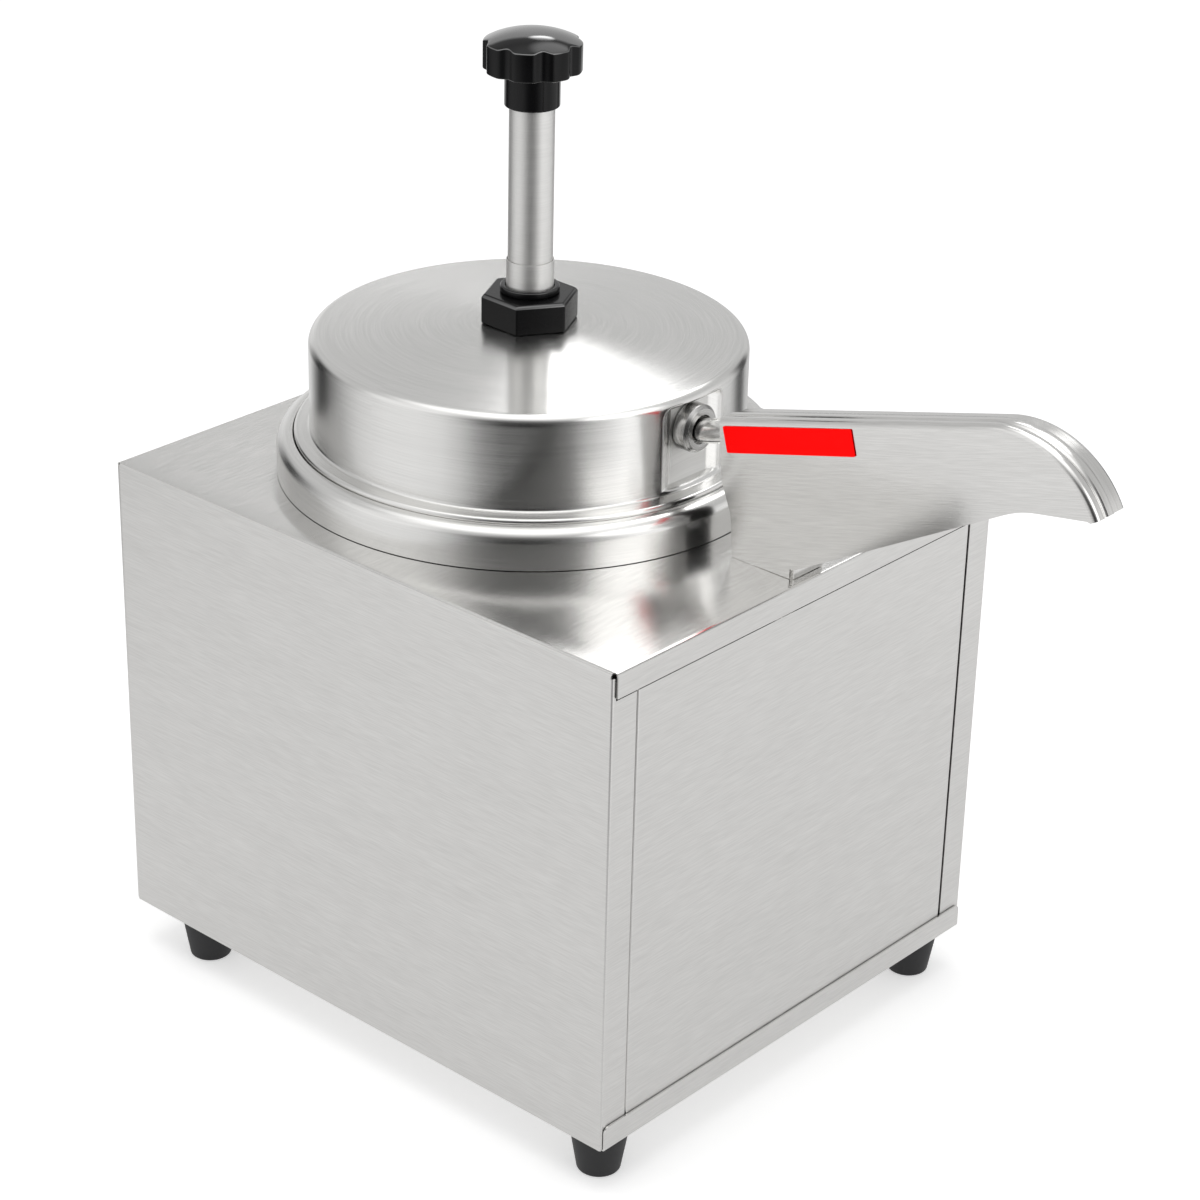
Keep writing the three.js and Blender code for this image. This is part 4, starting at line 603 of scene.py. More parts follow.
# Front panel
# A shallow pan of the same sheet between the two front flanges, its edges turned back. Its top and
# its foot sit behind the bands of the deck and the tray.
panel_half = cabinet_half - flange_width - 0.8
panel_low, panel_high = 1.1, deck_height - 2.3
panel_bend, panel_corner, panel_return = 1.0, 1.4, 10


def pan_row(inset, y):
    """One rectangle of the pan, inset from its outer edge, with small round corners"""
    corner = panel_corner - inset
    x, low, high = panel_half - inset, panel_low + inset, panel_high - inset
    centres = [(x - corner, low + corner, 270), (x - corner, high - corner, 0),
               (-x + corner, high - corner, 90), (-x + corner, low + corner, 180)]
    return [(u, y, v) for cx, cz, start in centres for u, v in arc(cx, cz, corner, start, start + 90, 4)]


pan = Form()
pan_rows = [pan_row(0, flange_face + panel_return), pan_row(0, flange_face + panel_bend)]
for a in np.linspace(0, math.pi / 2, 5)[1:]:
    pan_rows.append(pan_row(panel_bend * (1 - math.cos(a)), flange_face + panel_bend * (1 - math.sin(a))))
flat_row = pan_row(panel_bend + 0.35, flange_face)
pan.grid([*pan_rows, flat_row], around=True)
pan.face(flat_row)
front_panel = folded(loose(pan, "front_panel_brushed"), sheet)
cut_by(front_panel, shadow_gap(panel_half + 1, "panel_gap"))
finished(front_panel, "cabinet", brushed_sheet, "front_panel")


# Rear panel
# A flat brushed plate screwed to the wrap's rear flanges. Its vents are punched in three columns,
# and it has a hole for each control and for the cord.
def geometry_tree(name, **inputs):
    """A new geometry tree and its inputs, each given by its name and its kind"""
    tree = bpy.data.node_groups.new(name, "GeometryNodeTree")
    tree.is_modifier = True
    for label, kind in inputs.items():
        tree.interface.new_socket(label, in_out="INPUT", socket_type="NodeSocket" + kind)
    tree.interface.new_socket("Geometry", in_out="OUTPUT", socket_type="NodeSocketGeometry")
    return tree, laid(tree, "NodeGroupInput").outputs


def painted_out(tree, geometry, material):
    """Ends a geometry tree: its copies are made real and painted"""
    real = laid(tree, "GeometryNodeRealizeInstances", {"Geometry": geometry})
    painted = laid(tree, "GeometryNodeSetMaterial", {"Geometry": real.outputs[0], "Material": material})
    laid(tree, "NodeGroupOutput", {0: painted.outputs[0]})
    return tree


def grid_of_copies():
    """A geometry tree that sets copies of one piece out on a flat grid"""
    tree, into = geometry_tree(
        "grid_of_copies", Piece="Object", Columns="Int", Rows="Int", Width="Float", Length="Float",
        Centre="Vector", Turn="Vector", Material="Material",
    )
    points = laid(
        tree,
        "GeometryNodeMeshGrid",
        {"Size X": into["Width"], "Size Y": into["Length"],
         "Vertices X": into["Columns"], "Vertices Y": into["Rows"]},
    )
    stood = laid(
        tree,
        "GeometryNodeTransform",
        {"Geometry": points.outputs["Mesh"], "Translation": into["Centre"], "Rotation": into["Turn"]},
    )
    piece = laid(tree, "GeometryNodeObjectInfo", {"Object": into["Piece"]})
    copies = laid(
        tree,
        "GeometryNodeInstanceOnPoints",
        {"Points": stood.outputs[0], "Instance": piece.outputs["Geometry"]},
    )
    return painted_out(tree, copies.outputs[0], into["Material"])


def grown(name, tree, **values):
    """A new piece grown by a geometry tree from the values given"""
    piece = bpy.data.objects.new(name, bpy.data.meshes.new(name))
    bpy.context.scene.collection.objects.link(piece)
    modifier = piece.modifiers.new("grown", "NODES")
    modifier.node_group = tree
    for item in tree.interface.items_tree:
        if item.in_out == "INPUT" and item.name.lower() in values:
            modifier[item.identifier] = values[item.name.lower()]
    return baked(piece)


copies_tree = grid_of_copies()


def spread_copies(name, form, columns, rows, width, length, centre, material, turn=(0.0, 0.0, 0.0)):
    """Copies of a small form, which is made round the origin, on a grid"""
    single = loose(form, name + "_one", (0.0, 0.0, 0.0))
    x, y, z = centre
    piece = grown(
        name, copies_tree, piece=single, columns=columns, rows=rows, width=width / 1000, length=length / 1000,
        centre=(x / 1000, front + y / 1000, underside + z / 1000), turn=turn, material=material,
    )
    bpy.data.objects.remove(single)
    return piece


def through_back(tool, outline):
    overrun = 10
    inside, outside = cabinet_depth - overrun, cabinet_depth + overrun
    tool.prism(outline, lambda p: (p[0], inside, p[1]), lambda p: (p[0], outside, p[1]))


plate = Form()
plate_top = deck_height - 1.1
plate.prism(
    [(-tray_half, 0), (tray_half, 0), (tray_half, plate_top), (-tray_half, plate_top)],
    lambda p: (p[0], cabinet_depth - sheet, p[1]),
    lambda p: (p[0], cabinet_depth, p[1]),
)
rear_panel = loose(plate, "rear_panel_brushed")
vent_straight, vent_radius, vent_height = 19, 2, 177.5
vent_slot = Form()
vent_round = [(vent_straight + u, v) for u, v in arc(0, 0, vent_radius, -90, 90, 8)]
vent_round += [(u - vent_straight, v) for u, v in arc(0, 0, vent_radius, 90, 270, 8)]
vent_slot.prism(vent_round, lambda p: (p[0], -5, p[1]), lambda p: (p[0], 5, p[1]))
upright = (math.pi / 2, 0.0, 0.0)
vents = spread_copies(
    "vent_cutters", vent_slot, 3, 4, 88, 27, (0, cabinet_depth, vent_height), brushed_sheet, upright
)
dial_place, lamp_place, gland_place, switch_place = (74, 98), (-78, 119), (-78, 33), (-78, 90)
control_holes = Form()
for (x, z), radius in [(dial_place, 3.3), (lamp_place, 6.0), (gland_place, 8.0)]:
    through_back(control_holes, arc(x, z, radius, 0, 360, 40)[:-1])
switch_width, switch_height = 12.4, 18.4
switch_corners = [(-0.5, -0.5), (0.5, -0.5), (0.5, 0.5), (-0.5, 0.5)]
through_back(
    control_holes,
    [(switch_place[0] + u * switch_width, switch_place[1] + v * switch_height) for u, v in switch_corners],
)
cut_by(rear_panel, vents, loose(control_holes, "control_holes"))
finished(rear_panel, "cabinet", brushed_sheet, "rear_panel")


# Rear panel screws
# Four pan-head screws of bright steel, each with a cross recess, driven through the panel into the
# wrap's rear flanges.
def rounded_outline(outline, radius=0.3, steps=3, closed=True):
    """The outline with its corners eased; a corner may carry its own radius as a third number"""
    done = []
    count = len(outline)
    for i, corner in enumerate(outline):
        here = Vector(corner[:2])
        size = corner[2] if len(corner) > 2 else radius
        if size <= 0 or (not closed and i in (0, count - 1)):
            done.append(tuple(here))
            continue
        back = Vector(outline[i - 1][:2]) - here
        ahead = Vector(outline[(i + 1) % count][:2]) - here
        if back.length < 1e-6 or ahead.length < 1e-6 or back.angle(ahead) > math.radians(176):
            done.append(tuple(here))
            continue
        half = back.angle(ahead) / 2
        reach = min(size / math.tan(half), 0.46 * back.length, 0.46 * ahead.length)
        first, last = here + back.normalized() * reach, here + ahead.normalized() * reach
        for k in range(steps + 1):
            t = k / steps
            done.append(tuple(first * (1 - t) ** 2 + here * 2 * t * (1 - t) + last * t * t))
    return done


def lathe(form, outline, sides, axis="Z", centre=(0, 0, 0), start=0.0):
    """Turns an outline of radius and height about a line through centre, along Z or along Y"""
    on_axis = abs(outline[0][0]) < 1e-6 and abs(outline[-1][0]) < 1e-6
    rows = []
    for k in range(sides):
        a = start + 2 * math.pi * k / sides
        c, s = math.cos(a), math.sin(a)
        row = []
        for radius, h in outline:
            x, y, z = (radius * c, radius * s, h) if axis == "Z" else (radius * c, h, radius * s)
            row.append((x + centre[0], y + centre[1], z + centre[2]))
        rows.append(row)
    return form.grid(rows, around=not on_axis, along=True)


def about_axis(tree, coords, axis, centre):
    """Distance from a turned piece's axis, angle round it and the outward direction"""
    offset = laid(
        tree, "ShaderNodeVectorMath", {0: coords.outputs["Object"], 1: centre}, operation="SUBTRACT"
    ).outputs[0]
    flat = (1, 1, 0) if axis == "Z" else (1, 0, 1)
    outward = laid(tree, "ShaderNodeVectorMath", {0: offset, 1: flat}, operation="MULTIPLY").outputs[0]
    distance = laid(tree, "ShaderNodeVectorMath", {0: outward}, operation="LENGTH").outputs["Value"]
    split = laid(tree, "ShaderNodeSeparateXYZ", {0: offset}).outputs
    second, height = (split["Y"], split["Z"]) if axis == "Z" else (split["Z"], split["Y"])
    return distance, reckon(tree, "ARCTAN2", second, split["X"]), height, outward


def turned_metal(
    name, slot, dark, light, rough, spread, axis="Z", centre=(0, 0, 0), relief=0.02, lines=2.0, size=0.03
):
    """Steel polished or brushed on the lathe: its lines run round the axis, in streaks set by size"""

    def across(tree, coords):
        distance, _, height, _ = about_axis(tree, coords, axis, centre)
        return reckon(tree, "ADD", distance, height)

    def along(tree, coords):
        return reckon(tree, "MULTIPLY", about_axis(tree, coords, axis, centre)[1], size)

    def tangent(tree, coords):
        outward = about_axis(tree, coords, axis, centre)[3]
        line = (0, 0, 1) if axis == "Z" else (0, 1, 0)
        normal = coords.outputs["Normal"]
        round_it = laid(tree, "ShaderNodeVectorMath", {0: line, 1: outward}, operation="CROSS_PRODUCT")
        side = laid(
            tree, "ShaderNodeVectorMath", {0: round_it.outputs[0], 1: normal}, operation="CROSS_PRODUCT"
        ).outputs[0]
        return laid(tree, "ShaderNodeVectorMath", {0: side}, operation="NORMALIZE").outputs[0]

    return brushed_metal(name, slot, dark, light, rough, spread, across, along, tangent, relief, lines, 14.0)


bright_steel = brushed_metal(
    "bright_screw_steel", "polished", (0.74, 0.735, 0.72), (0.84, 0.835, 0.82), 0.2, 0.0,
    panel_across, panel_along, None, relief=0.01, lines=4.0, length=1.5,
)
screw = Form()
shank, screw_head, screw_end, head_height = 1.6, 3.4, -8, 2.3
head = rounded_outline(
    [(0, screw_end, 0), (shank, screw_end, 0.3), (shank, 0.3, 0), (screw_head, 0.3, 0.2),
     (screw_head, 1.1, 0.8), (2.0, head_height, 0.8), (0, head_height, 0)], 0.2, closed=False,
)
lathe(screw, head, 24, "Y")
recess_blade = [(-1.5, -0.35), (1.5, -0.35), (1.5, 0.35), (-1.5, 0.35)]
screw_span, screw_rise, screw_middle, recess_foot = 240, 160, 114, 1.5
rear_screws = spread_copies(
    "rear_screws_bright", screw, 2, 2, screw_span, screw_rise, (0, cabinet_depth, screw_middle),
    bright_steel, upright,
)
for x in (-screw_span / 2, screw_span / 2):
    for z in (screw_middle - screw_rise / 2, screw_middle + screw_rise / 2):
        level_slot = Form((x, cabinet_depth + recess_foot, z))
        level_slot.prism(recess_blade, lambda p: (p[0], 0, p[1]), lambda p: (p[0], 2, p[1]))
        upright_slot = Form((x, cabinet_depth + recess_foot, z))
        upright_slot.prism(recess_blade, lambda p: (p[1], 0, p[0]), lambda p: (p[1], 2, p[0]))
        cut_by(rear_screws, loose(level_slot, "level_slot"), loose(upright_slot, "upright_slot"))
finished(rear_screws, "cabinet", bright_steel, *[f"rear_screw_{i}" for i in (1, 2, 3, 4)])


# Feet
# Four moulded black rubber feet, tapered, each with a recess for the screw that holds it to the base
# tray.
def moulded(name, slot, colour, rough, grain_mm=0.6, relief=0.15, specular=0.5, lift=1.6):
    """Plastic, rubber or silicone: a fine moulded surface, duller where it has been handled"""
    material, tree, shader = new_material(name, slot)
    coords = laid(tree, "ShaderNodeTexCoord").outputs["Object"]
    hands = placed_group(tree, handling, {"Vector": coords, "Patch mm": 35.0})
    pale = tuple(min(1.0, c * lift + 0.004) for c in colour)
    tree.links.new(mixed_colour(tree, hands["Smear"], colour, pale), shader.inputs["Base Color"])
    tree.links.new(
        reckon(tree, "MULTIPLY_ADD", hands["Smear"], 0.25 * rough, rough * 0.9), shader.inputs["Roughness"]
    )
    shader.inputs["Specular IOR Level"].default_value = specular
    fine = laid(tree, "ShaderNodeTexNoise", {"Vector": coords, "Scale": 1000 / grain_mm, "Detail": 2.0})
    skin = fine.outputs["Fac"]
    bump = laid(tree, "ShaderNodeBump", {"Strength": relief, "Distance": 0.0001, "Height": skin})
    tree.links.new(bump.outputs[0], shader.inputs["Normal"])
    return material


foot_rubber = moulded("foot_rubber", "black_rubber", (0.012, 0.012, 0.013), 0.55, 0.5, 0.3)
foot = Form()
foot_sole, foot_head, foot_top, screw_way, recess_radius, recess_top = -23, 13.4, -0.3, 2.3, 5.2, -9
foot_outline = rounded_outline(
    [(recess_radius, foot_sole, 0.6), (9.6, foot_sole, 1.5), (foot_head, foot_top, 0.8),
     (screw_way, foot_top, 0), (screw_way, recess_top, 0), (recess_radius, recess_top, 0.3)], 0.4, 5,
)
lathe(foot, foot_outline, 48)
feet_across, feet_along, feet_middle = 221.6, 250, (0, 141.5, 0)
corners = ("front_left", "front_right", "rear_left", "rear_right")
feet = spread_copies("feet_rubber", foot, 2, 2, feet_across, feet_along, feet_middle, foot_rubber)
finished(feet, "cabinet", foot_rubber, *[f"foot_{corner}" for corner in corners])

# Foot screws
# A round-head screw of bright steel goes up through each foot into the base tray. Its head sits deep in
# the foot's recess, clear of the counter.
foot_screw = Form()
seat, head_low, head_radius, shank_radius, shank_end = recess_top - 0.3, -11.9, 4.2, 2, 4.8
foot_screw_outline = rounded_outline(
    [(0, head_low, 0), (head_radius, head_low, 1.4), (head_radius, seat, 0.2), (shank_radius, seat, 0),
     (shank_radius, shank_end, 0.3), (0, shank_end, 0)], 0.2, closed=False,
)
lathe(foot_screw, foot_screw_outline, 24)
foot_screws = spread_copies(
    "foot_screws_bright", foot_screw, 2, 2, feet_across, feet_along, feet_middle, bright_steel
)
finished(foot_screws, "cabinet", bright_steel, *[f"foot_screw_{corner}" for corner in corners])

# Deck collar
# A ring pressed and polished from stainless, with a full round shoulder. The pot and the lid hang in
# its mouth. Heights are above the deck here and in the sections on the well, the pot and the lid.
well_centre = (0, well_back, deck_height)
axis_metres = (0, front + well_back / 1000, 0)
lift_off = 0.3
lathe_polish = turned_metal(
    "lathe_polished_steel", "polished", (0.77, 0.765, 0.75), (0.86, 0.855, 0.84), 0.22, 0.55,
    centre=axis_metres, relief=0.02, lines=3.0,
)
collar = Form(well_centre)
collar_radius, collar_wall, ledge_height, mouth_radius = 112.5, 1.0, 12, 95.8
shoulder_bend = 6.4
shoulder_radius = collar_radius - shoulder_bend
collar_top = ledge_height + shoulder_bend
collar_outline = [
    (collar_radius, lift_off), (collar_radius, 6),
    *arc(shoulder_radius, ledge_height, shoulder_bend, 0, 90, 14),
    (105.6, collar_top), *arc(105.6, collar_top - 0.5, 0.5, 90, 180, 3),
    (105.1, 12.5), (104.6, ledge_height), (mouth_radius, ledge_height),
    *arc(mouth_radius + 0.1, ledge_height - collar_wall / 2, 0.4, 90, 270, 4),
    (shoulder_radius, ledge_height - collar_wall), (106.3, 17.3),
    *arc(shoulder_radius, ledge_height, shoulder_bend - collar_wall, 80, 0, 8),
    (collar_radius - collar_wall, lift_off),
]
lathe(collar, collar_outline, 240)
finished(loose(collar, "deck_collar_polished"), "cabinet", lathe_polish, "deck_collar", crease=40)

# Well pan
# A pan deep-drawn from stainless. Its rim lies on the deck under the collar, and it hangs through the
# well's opening.
drawn_steel = turned_metal(
    "drawn_steel", "inner_steel", (0.60, 0.595, 0.585), (0.72, 0.715, 0.70), 0.32, 0.3,
    centre=axis_metres, relief=0.03, lines=1.2,
)
pan_foot, pan_radius, pan_corner, pan_rim, pan_wall = -187, 97, 8, 104, 0.8
pan_turn = (pan_radius - pan_corner, pan_foot + pan_corner)
well_pan = Form(well_centre)
pan_outline = [
    (0, pan_foot), *arc(*pan_turn, pan_corner, -90, 0, 8), (pan_radius, -0.7), (pan_radius + 0.4, lift_off),
    (pan_rim, lift_off), (pan_rim, lift_off + pan_wall), (96.6, lift_off + pan_wall),
    (pan_radius - pan_wall, 0.7), *arc(*pan_turn, pan_corner - pan_wall, 0, -90, 8), (0, pan_foot + pan_wall),
]
lathe(well_pan, pan_outline, 144)
finished(loose(well_pan, "well_pan_drawn"), "cabinet", drawn_steel, "well_pan")

# Heating
# A silicone band heater round the pan, a cast aluminium plate under it, and a
# needled felt jacket round both.
band_silicone = moulded("heater_silicone", "silicone", (0.42, 0.17, 0.08), 0.6, 0.8, 0.2)
heater_band = Form(well_centre)
band_inside, band_outside = pan_radius + 0.3, pan_radius + 3.3
band_low, band_high = -150, -100
band_outline = [(band_inside, band_low), (band_outside, band_low, 1.2), (band_outside, band_high, 1.2),
                (band_inside, band_high)]
lathe(heater_band, rounded_outline(band_outline, 0.2), 144)
finished(loose(heater_band, "heater_band_silicone"), "cabinet", band_silicone, "heater_band")
cast_plate = brushed_metal(
    "cast_aluminium", "aluminium", (0.55, 0.55, 0.55), (0.68, 0.68, 0.68), 0.55, 0.0,
    panel_across, panel_along, None, relief=0.3, lines=0.8, length=1.2,
)
heater_plate = Form(well_centre)
plate_high, plate_low, plate_radius = pan_foot - 0.3, pan_foot - 4.3, 70
plate_outline = [(0, plate_low, 0), (plate_radius, plate_low, 1), (plate_radius, plate_high, 1),
                 (0, plate_high, 0)]
lathe(heater_plate, rounded_outline(plate_outline, closed=False), 128)
finished(loose(heater_plate, "heater_plate_cast"), "cabinet", cast_plate, "heater_plate")
felt_material, felt_tree, felt_shader = new_material("needled_felt", "felt")
felt_coords = laid(felt_tree, "ShaderNodeTexCoord").outputs["Object"]
fibres = laid(
    felt_tree, "ShaderNodeTexNoise", {"Vector": felt_coords, "Scale": 700.0, "Detail": 6.0, "Distortion": 2.0}
)
felt_tree.links.new(
    mixed_colour(felt_tree, fibres.outputs["Fac"], (0.52, 0.48, 0.40), (0.86, 0.83, 0.76)),
    felt_shader.inputs["Base Color"],
)
felt_shader.inputs["Roughness"].default_value = 0.95
felt_shader.inputs["Sheen Weight"].default_value = 0.4
felt_bump = laid(
    felt_tree, "ShaderNodeBump", {"Strength": 0.8, "Distance": 0.0006, "Height": fibres.outputs["Fac"]}
)
felt_tree.links.new(felt_bump.outputs[0], felt_shader.inputs["Normal"])
jacket = Form(well_centre)
jacket_inside, jacket_outside, jacket_low, jacket_high = band_outside + 0.3, 108, -185, -8
jacket_outline = [(jacket_inside, jacket_low), (jacket_outside, jacket_low, 2),
                  (jacket_outside, jacket_high, 2), (jacket_inside, jacket_high)]
lathe(jacket, rounded_outline(jacket_outline, 0.8), 128)
finished(loose(jacket, "insulation_jacket_felt"), "cabinet", felt_material, "insulation_jacket")

# Topping pot
# The lift-out pot that holds the fudge: deep-drawn stainless with a full rolled rim, which rests on
# the collar's ledge.
pot_foot, pot_radius, pot_corner, pot_wall = -170, 91, 10, 0.9
pot_turn = (pot_radius - pot_corner, pot_foot + pot_corner)
pot = Form(well_centre)
rolled_rim = arc(98.8, 15.6, 3.3, -172, 172, 22)
pot_outline = [
    (0, pot_foot), *arc(*pot_turn, pot_corner, -90, 0, 10), (pot_radius, 14.4), (91.4, 15.1), *rolled_rim,
    (90.9, 16.0), (pot_radius - pot_wall, 15.4), (pot_radius - pot_wall, 14),
    *arc(*pot_turn, pot_corner - pot_wall, 0, -90, 10), (0, pot_foot + pot_wall),
]
lathe(pot, pot_outline, 144)
finished(loose(pot, "topping_pot_drawn"), "pot", drawn_steel, "topping_pot")

# Pump lid
# Spun from one disc of stainless: a brim that sits over the pot's rim, an upright side, a rounded
# shoulder and a low crown turned on the lathe. A flat pad is pressed into its front for the fitting.
lid_steel = turned_metal(
    "turned_lid_steel", "polished", (0.76, 0.755, 0.74), (0.87, 0.865, 0.85), 0.20, 0.82,
    centre=axis_metres, relief=0.03, lines=2.2,
)
lid_radius, lid_shoulder, shoulder_height, crown_top, crown_flat = 97.6, 4.6, 59.4, 69.6, 26
crown_radius = lid_radius - lid_shoulder
crown_fall = crown_top - shoulder_height - lid_shoulder
crown_width = crown_radius - crown_flat
crown = [(r, crown_top - crown_fall * max(0.0, (r - crown_flat) / crown_width) ** 1.2)
         for r in np.linspace(crown_radius, crown_flat, 30)]
brim_radius, brim_height, brim_bend = 104.6, 18.6, 1.6
side_heights = np.linspace(22.3, shoulder_height, 62)
lid_profile = [
    (brim_radius, 13.0), (brim_radius, 14.0), (brim_radius, brim_height),
    *arc(brim_radius - brim_bend, brim_height, brim_bend, 15, 90, 6),
    (100.2, 20.45), *arc(98.9, 22.0, 1.3, -75, -165, 5), *[(lid_radius, z) for z in side_heights],
    *arc(crown_radius, shoulder_height, lid_shoulder, 12, 90, 8)[:-1], *crown,
    (24, crown_top), (15.5, crown_top),
]
pad_half, pad_low, pad_high, pad_corner, pad_plane = 18.8, 22.6, 59.0, 4.0, -93.3
step_width, step_share = 1.8, 0.14


def smooth(value):
    held = max(0.0, min(1.0, value))
    return held * held * (3 - 2 * held)


def pad_depth(x, z):
    """How far inside the pressed pad's outline a point of the side is, from 0 outside to 1 on the pad"""
    run_down = 12
    centre_z, half_z = (pad_low - run_down + pad_high) / 2, (pad_high - pad_low + run_down) / 2
    over_x, over_z = abs(x) - (pad_half - pad_corner), abs(z - centre_z) - (half_z - pad_corner)
    outside = math.hypot(max(over_x, 0), max(over_z, 0)) + min(max(over_x, over_z), 0) - pad_corner
    step = smooth((step_width / 2 - outside) / step_width)
    run_in = smooth((pad_half + 0.6 - abs(x)) / 8)
    foot = smooth((z - 21.9) / 0.9)
    return step * (step_share + (1 - step_share) * run_in) * foot


def pressed(x, y, z):
    """A point of the lid's side, pushed back to the pad's plane where the pad is"""
    if y < pad_plane and abs(x) < 24 and 21 < z < 64:
        y += (pad_plane - y) * pad_depth(x, z)
    return x, y, z


# The pressed pad isn't polished after the press, so it is twice as rough as the rest of the lid
lid_tree = lid_steel.node_tree
lid_shader = next(node for node in lid_tree.nodes if node.bl_idname == "ShaderNodeBsdfPrincipled")
lid_coords = laid(lid_tree, "ShaderNodeTexCoord")
lid_normal = laid(lid_tree, "ShaderNodeSeparateXYZ", {0: lid_coords.outputs["Normal"]})
on_pad = reckon(lid_tree, "LESS_THAN", lid_normal.outputs["Y"], -0.985)
lid_rough = lid_shader.inputs["Roughness"].links[0].from_socket
pad_rough = reckon(lid_tree, "MULTIPLY", lid_rough, reckon(lid_tree, "MULTIPLY_ADD", on_pad, 1.0, 1.0))
lid_tree.links.new(pad_rough, lid_shader.inputs["Roughness"])

# The points stand closer round the front, where the pad is
pad_reach = 14.0
lid_degrees = [*np.linspace(-90 - pad_reach, -90 + pad_reach, 89),
               *np.linspace(-90 + pad_reach, 270 - pad_reach, 190)[1:-1]]
lid = Form(well_centre)
lid_rows = []
for turn in [math.radians(degrees) for degrees in lid_degrees]:
    lid_rows.append([pressed(r * math.cos(turn), r * math.sin(turn), z) for r, z in lid_profile])
lid.grid(lid_rows, along=True)
pump_lid = loose(lid, "pump_lid_turned")

# The fitting's hole in the pad: the points within it go, and those on its edge are drawn to its circle
fitting_height = 47.2
fitting_level = underside + (deck_height + fitting_height) / 1000
fitting_hole = 0.0093
pad_face = front + (well_back + pad_plane) / 1000 + 0.0005
lid_shape = bmesh.new()
lid_shape.from_mesh(pump_lid.data)


def from_fitting(vertex):
    return math.hypot(vertex.co.x, vertex.co.z - fitting_level)


in_hole = [v for v in lid_shape.verts if v.co.y < pad_face and from_fitting(v) < fitting_hole - 0.0003]
bmesh.ops.delete(lid_shape, geom=in_hole, context="VERTS")
for vertex in lid_shape.verts:
    if vertex.is_boundary and vertex.co.y < pad_face and from_fitting(vertex) < 0.012:
        grow = fitting_hole / from_fitting(vertex)
        vertex.co.x *= grow
        vertex.co.z = fitting_level + (vertex.co.z - fitting_level) * grow
lid_shape.to_mesh(pump_lid.data)
lid_shape.free()
lid_sheet = 1.0
folded(pump_lid, lid_sheet)
finished(pump_lid, "pump", lid_steel, "pump_lid", crease=50)

# Lid gasket, pump head and lock nut
# The pump's turned steel head is clamped up against the lid by a black moulded nut on its threaded
# neck, over a flat gasket.
off_white = moulded("off_white_plastic", "white_plastic", (0.80, 0.78, 0.73), 0.45, 0.9, 0.1, lift=1.05)
gasket = Form(well_centre)
flange_radius, flange_top = 24, 67.0
gasket_low, gasket_high = flange_top + 0.3, flange_top + 1.3
gasket_bore = 15.8
gasket_outline = [(gasket_bore, gasket_low), (flange_radius, gasket_low), (flange_radius, gasket_high),
                  (gasket_bore, gasket_high)]
lathe(gasket, rounded_outline(gasket_outline, 0.3), 64)
finished(loose(gasket, "lid_gasket_moulded"), "pump", off_white, "lid_gasket")
turned_steel = turned_metal(
    "turned_pump_steel", "inner_steel", (0.62, 0.615, 0.60), (0.75, 0.745, 0.73), 0.26, 0.4,
    centre=axis_metres, relief=0.04, lines=2.5,
)
rod_way, neck_radius, neck_top, barrel_way = 10.85, 15, 82.0, 14.6
head_outline = rounded_outline(
    [(rod_way, neck_top), (neck_radius, neck_top, 0.8), (neck_radius, flange_top, 0.2),
     (flange_radius, flange_top, 0.4), (flange_radius, 64.0, 0.4), (19, 64.0, 1.5), (19, 36.0, 0.8),
     (barrel_way, 36.0, 0.5), (barrel_way, 58.0, 0.2), (rod_way, 58.0, 0.2)], 0.3,
)
pump_head = Form(well_centre)
lathe(pump_head, head_outline, 72)
finished(loose(pump_head, "pump_head_turned"), "pump", turned_steel, "pump_head")

# Moulded edges: a mask for the fillets and chamfers between the sides and the top, and one for the top; they
# place the painted highlight and the painted sheen of the black plastics
moulded_edges, into, out = group_of(
    "moulded_edges",
    [("Normal", "NodeSocketVector", None)],
    [("Edge", "NodeSocketFloat"), ("Top", "NodeSocketFloat")],
)
upward = laid(moulded_edges, "ShaderNodeSeparateXYZ", {0: into["Normal"]}).outputs["Z"]
past_side = eased_step(moulded_edges, upward, 0.35, 0.55)
before_top = eased_step(moulded_edges, upward, 0.72, 0.82, 1.0, 0.0)
moulded_edges.links.new(reckon(moulded_edges, "MULTIPLY", past_side, before_top), out["Edge"])
moulded_edges.links.new(eased_step(moulded_edges, upward, 0.60, 0.80, 0.10, 1.0), out["Top"])


def gloss_black(name, slot, rough, edge, shallow):
    """Glossy black plastic with painted highlights: a shiny coat only on the moulded edges, and a painted
    sheen on the tops where they are seen at a shallow angle
    """
    material, tree, shader = new_material(name, slot)
    coords = laid(tree, "ShaderNodeTexCoord")
    hands = placed_group(tree, handling, {"Vector": coords.outputs["Object"], "Patch mm": 35.0})
    masks = placed_group(tree, moulded_edges, {"Normal": coords.outputs["Normal"]})
    facing = laid(tree, "ShaderNodeLayerWeight", {"Blend": 0.5}).outputs["Facing"]
    painted_shallow_sheen = eased_step(tree, facing, 0.53, 0.59, 0.0, shallow)
    painted_edge_highlight = reckon(tree, "MULTIPLY", masks["Edge"], edge)
    # The coat weight is painted light: a painted highlight along the moulded edges and a painted sheen on the
    # tops seen at a shallow angle
    skin = reckon(tree, "MAXIMUM", painted_edge_highlight, reckon(tree, "MULTIPLY", painted_shallow_sheen, masks["Top"]))
    black, handled_black = (0.004, 0.004, 0.0042), (0.0065, 0.0065, 0.007)
    tree.links.new(mixed_colour(tree, hands["Smear"], black, handled_black), shader.inputs["Base Color"])
    tree.links.new(skin, shader.inputs["Coat Weight"])
    dulled = reckon(tree, "MULTIPLY_ADD", hands["Smear"], 0.25 * rough, rough * 0.9)
    tree.links.new(dulled, shader.inputs["Roughness"])
    shader.inputs["Coat IOR"].default_value = 2.7
    shader.inputs["Coat Roughness"].default_value = rough * 0.7
    shader.inputs["Specular IOR Level"].default_value = 0.2
    return material


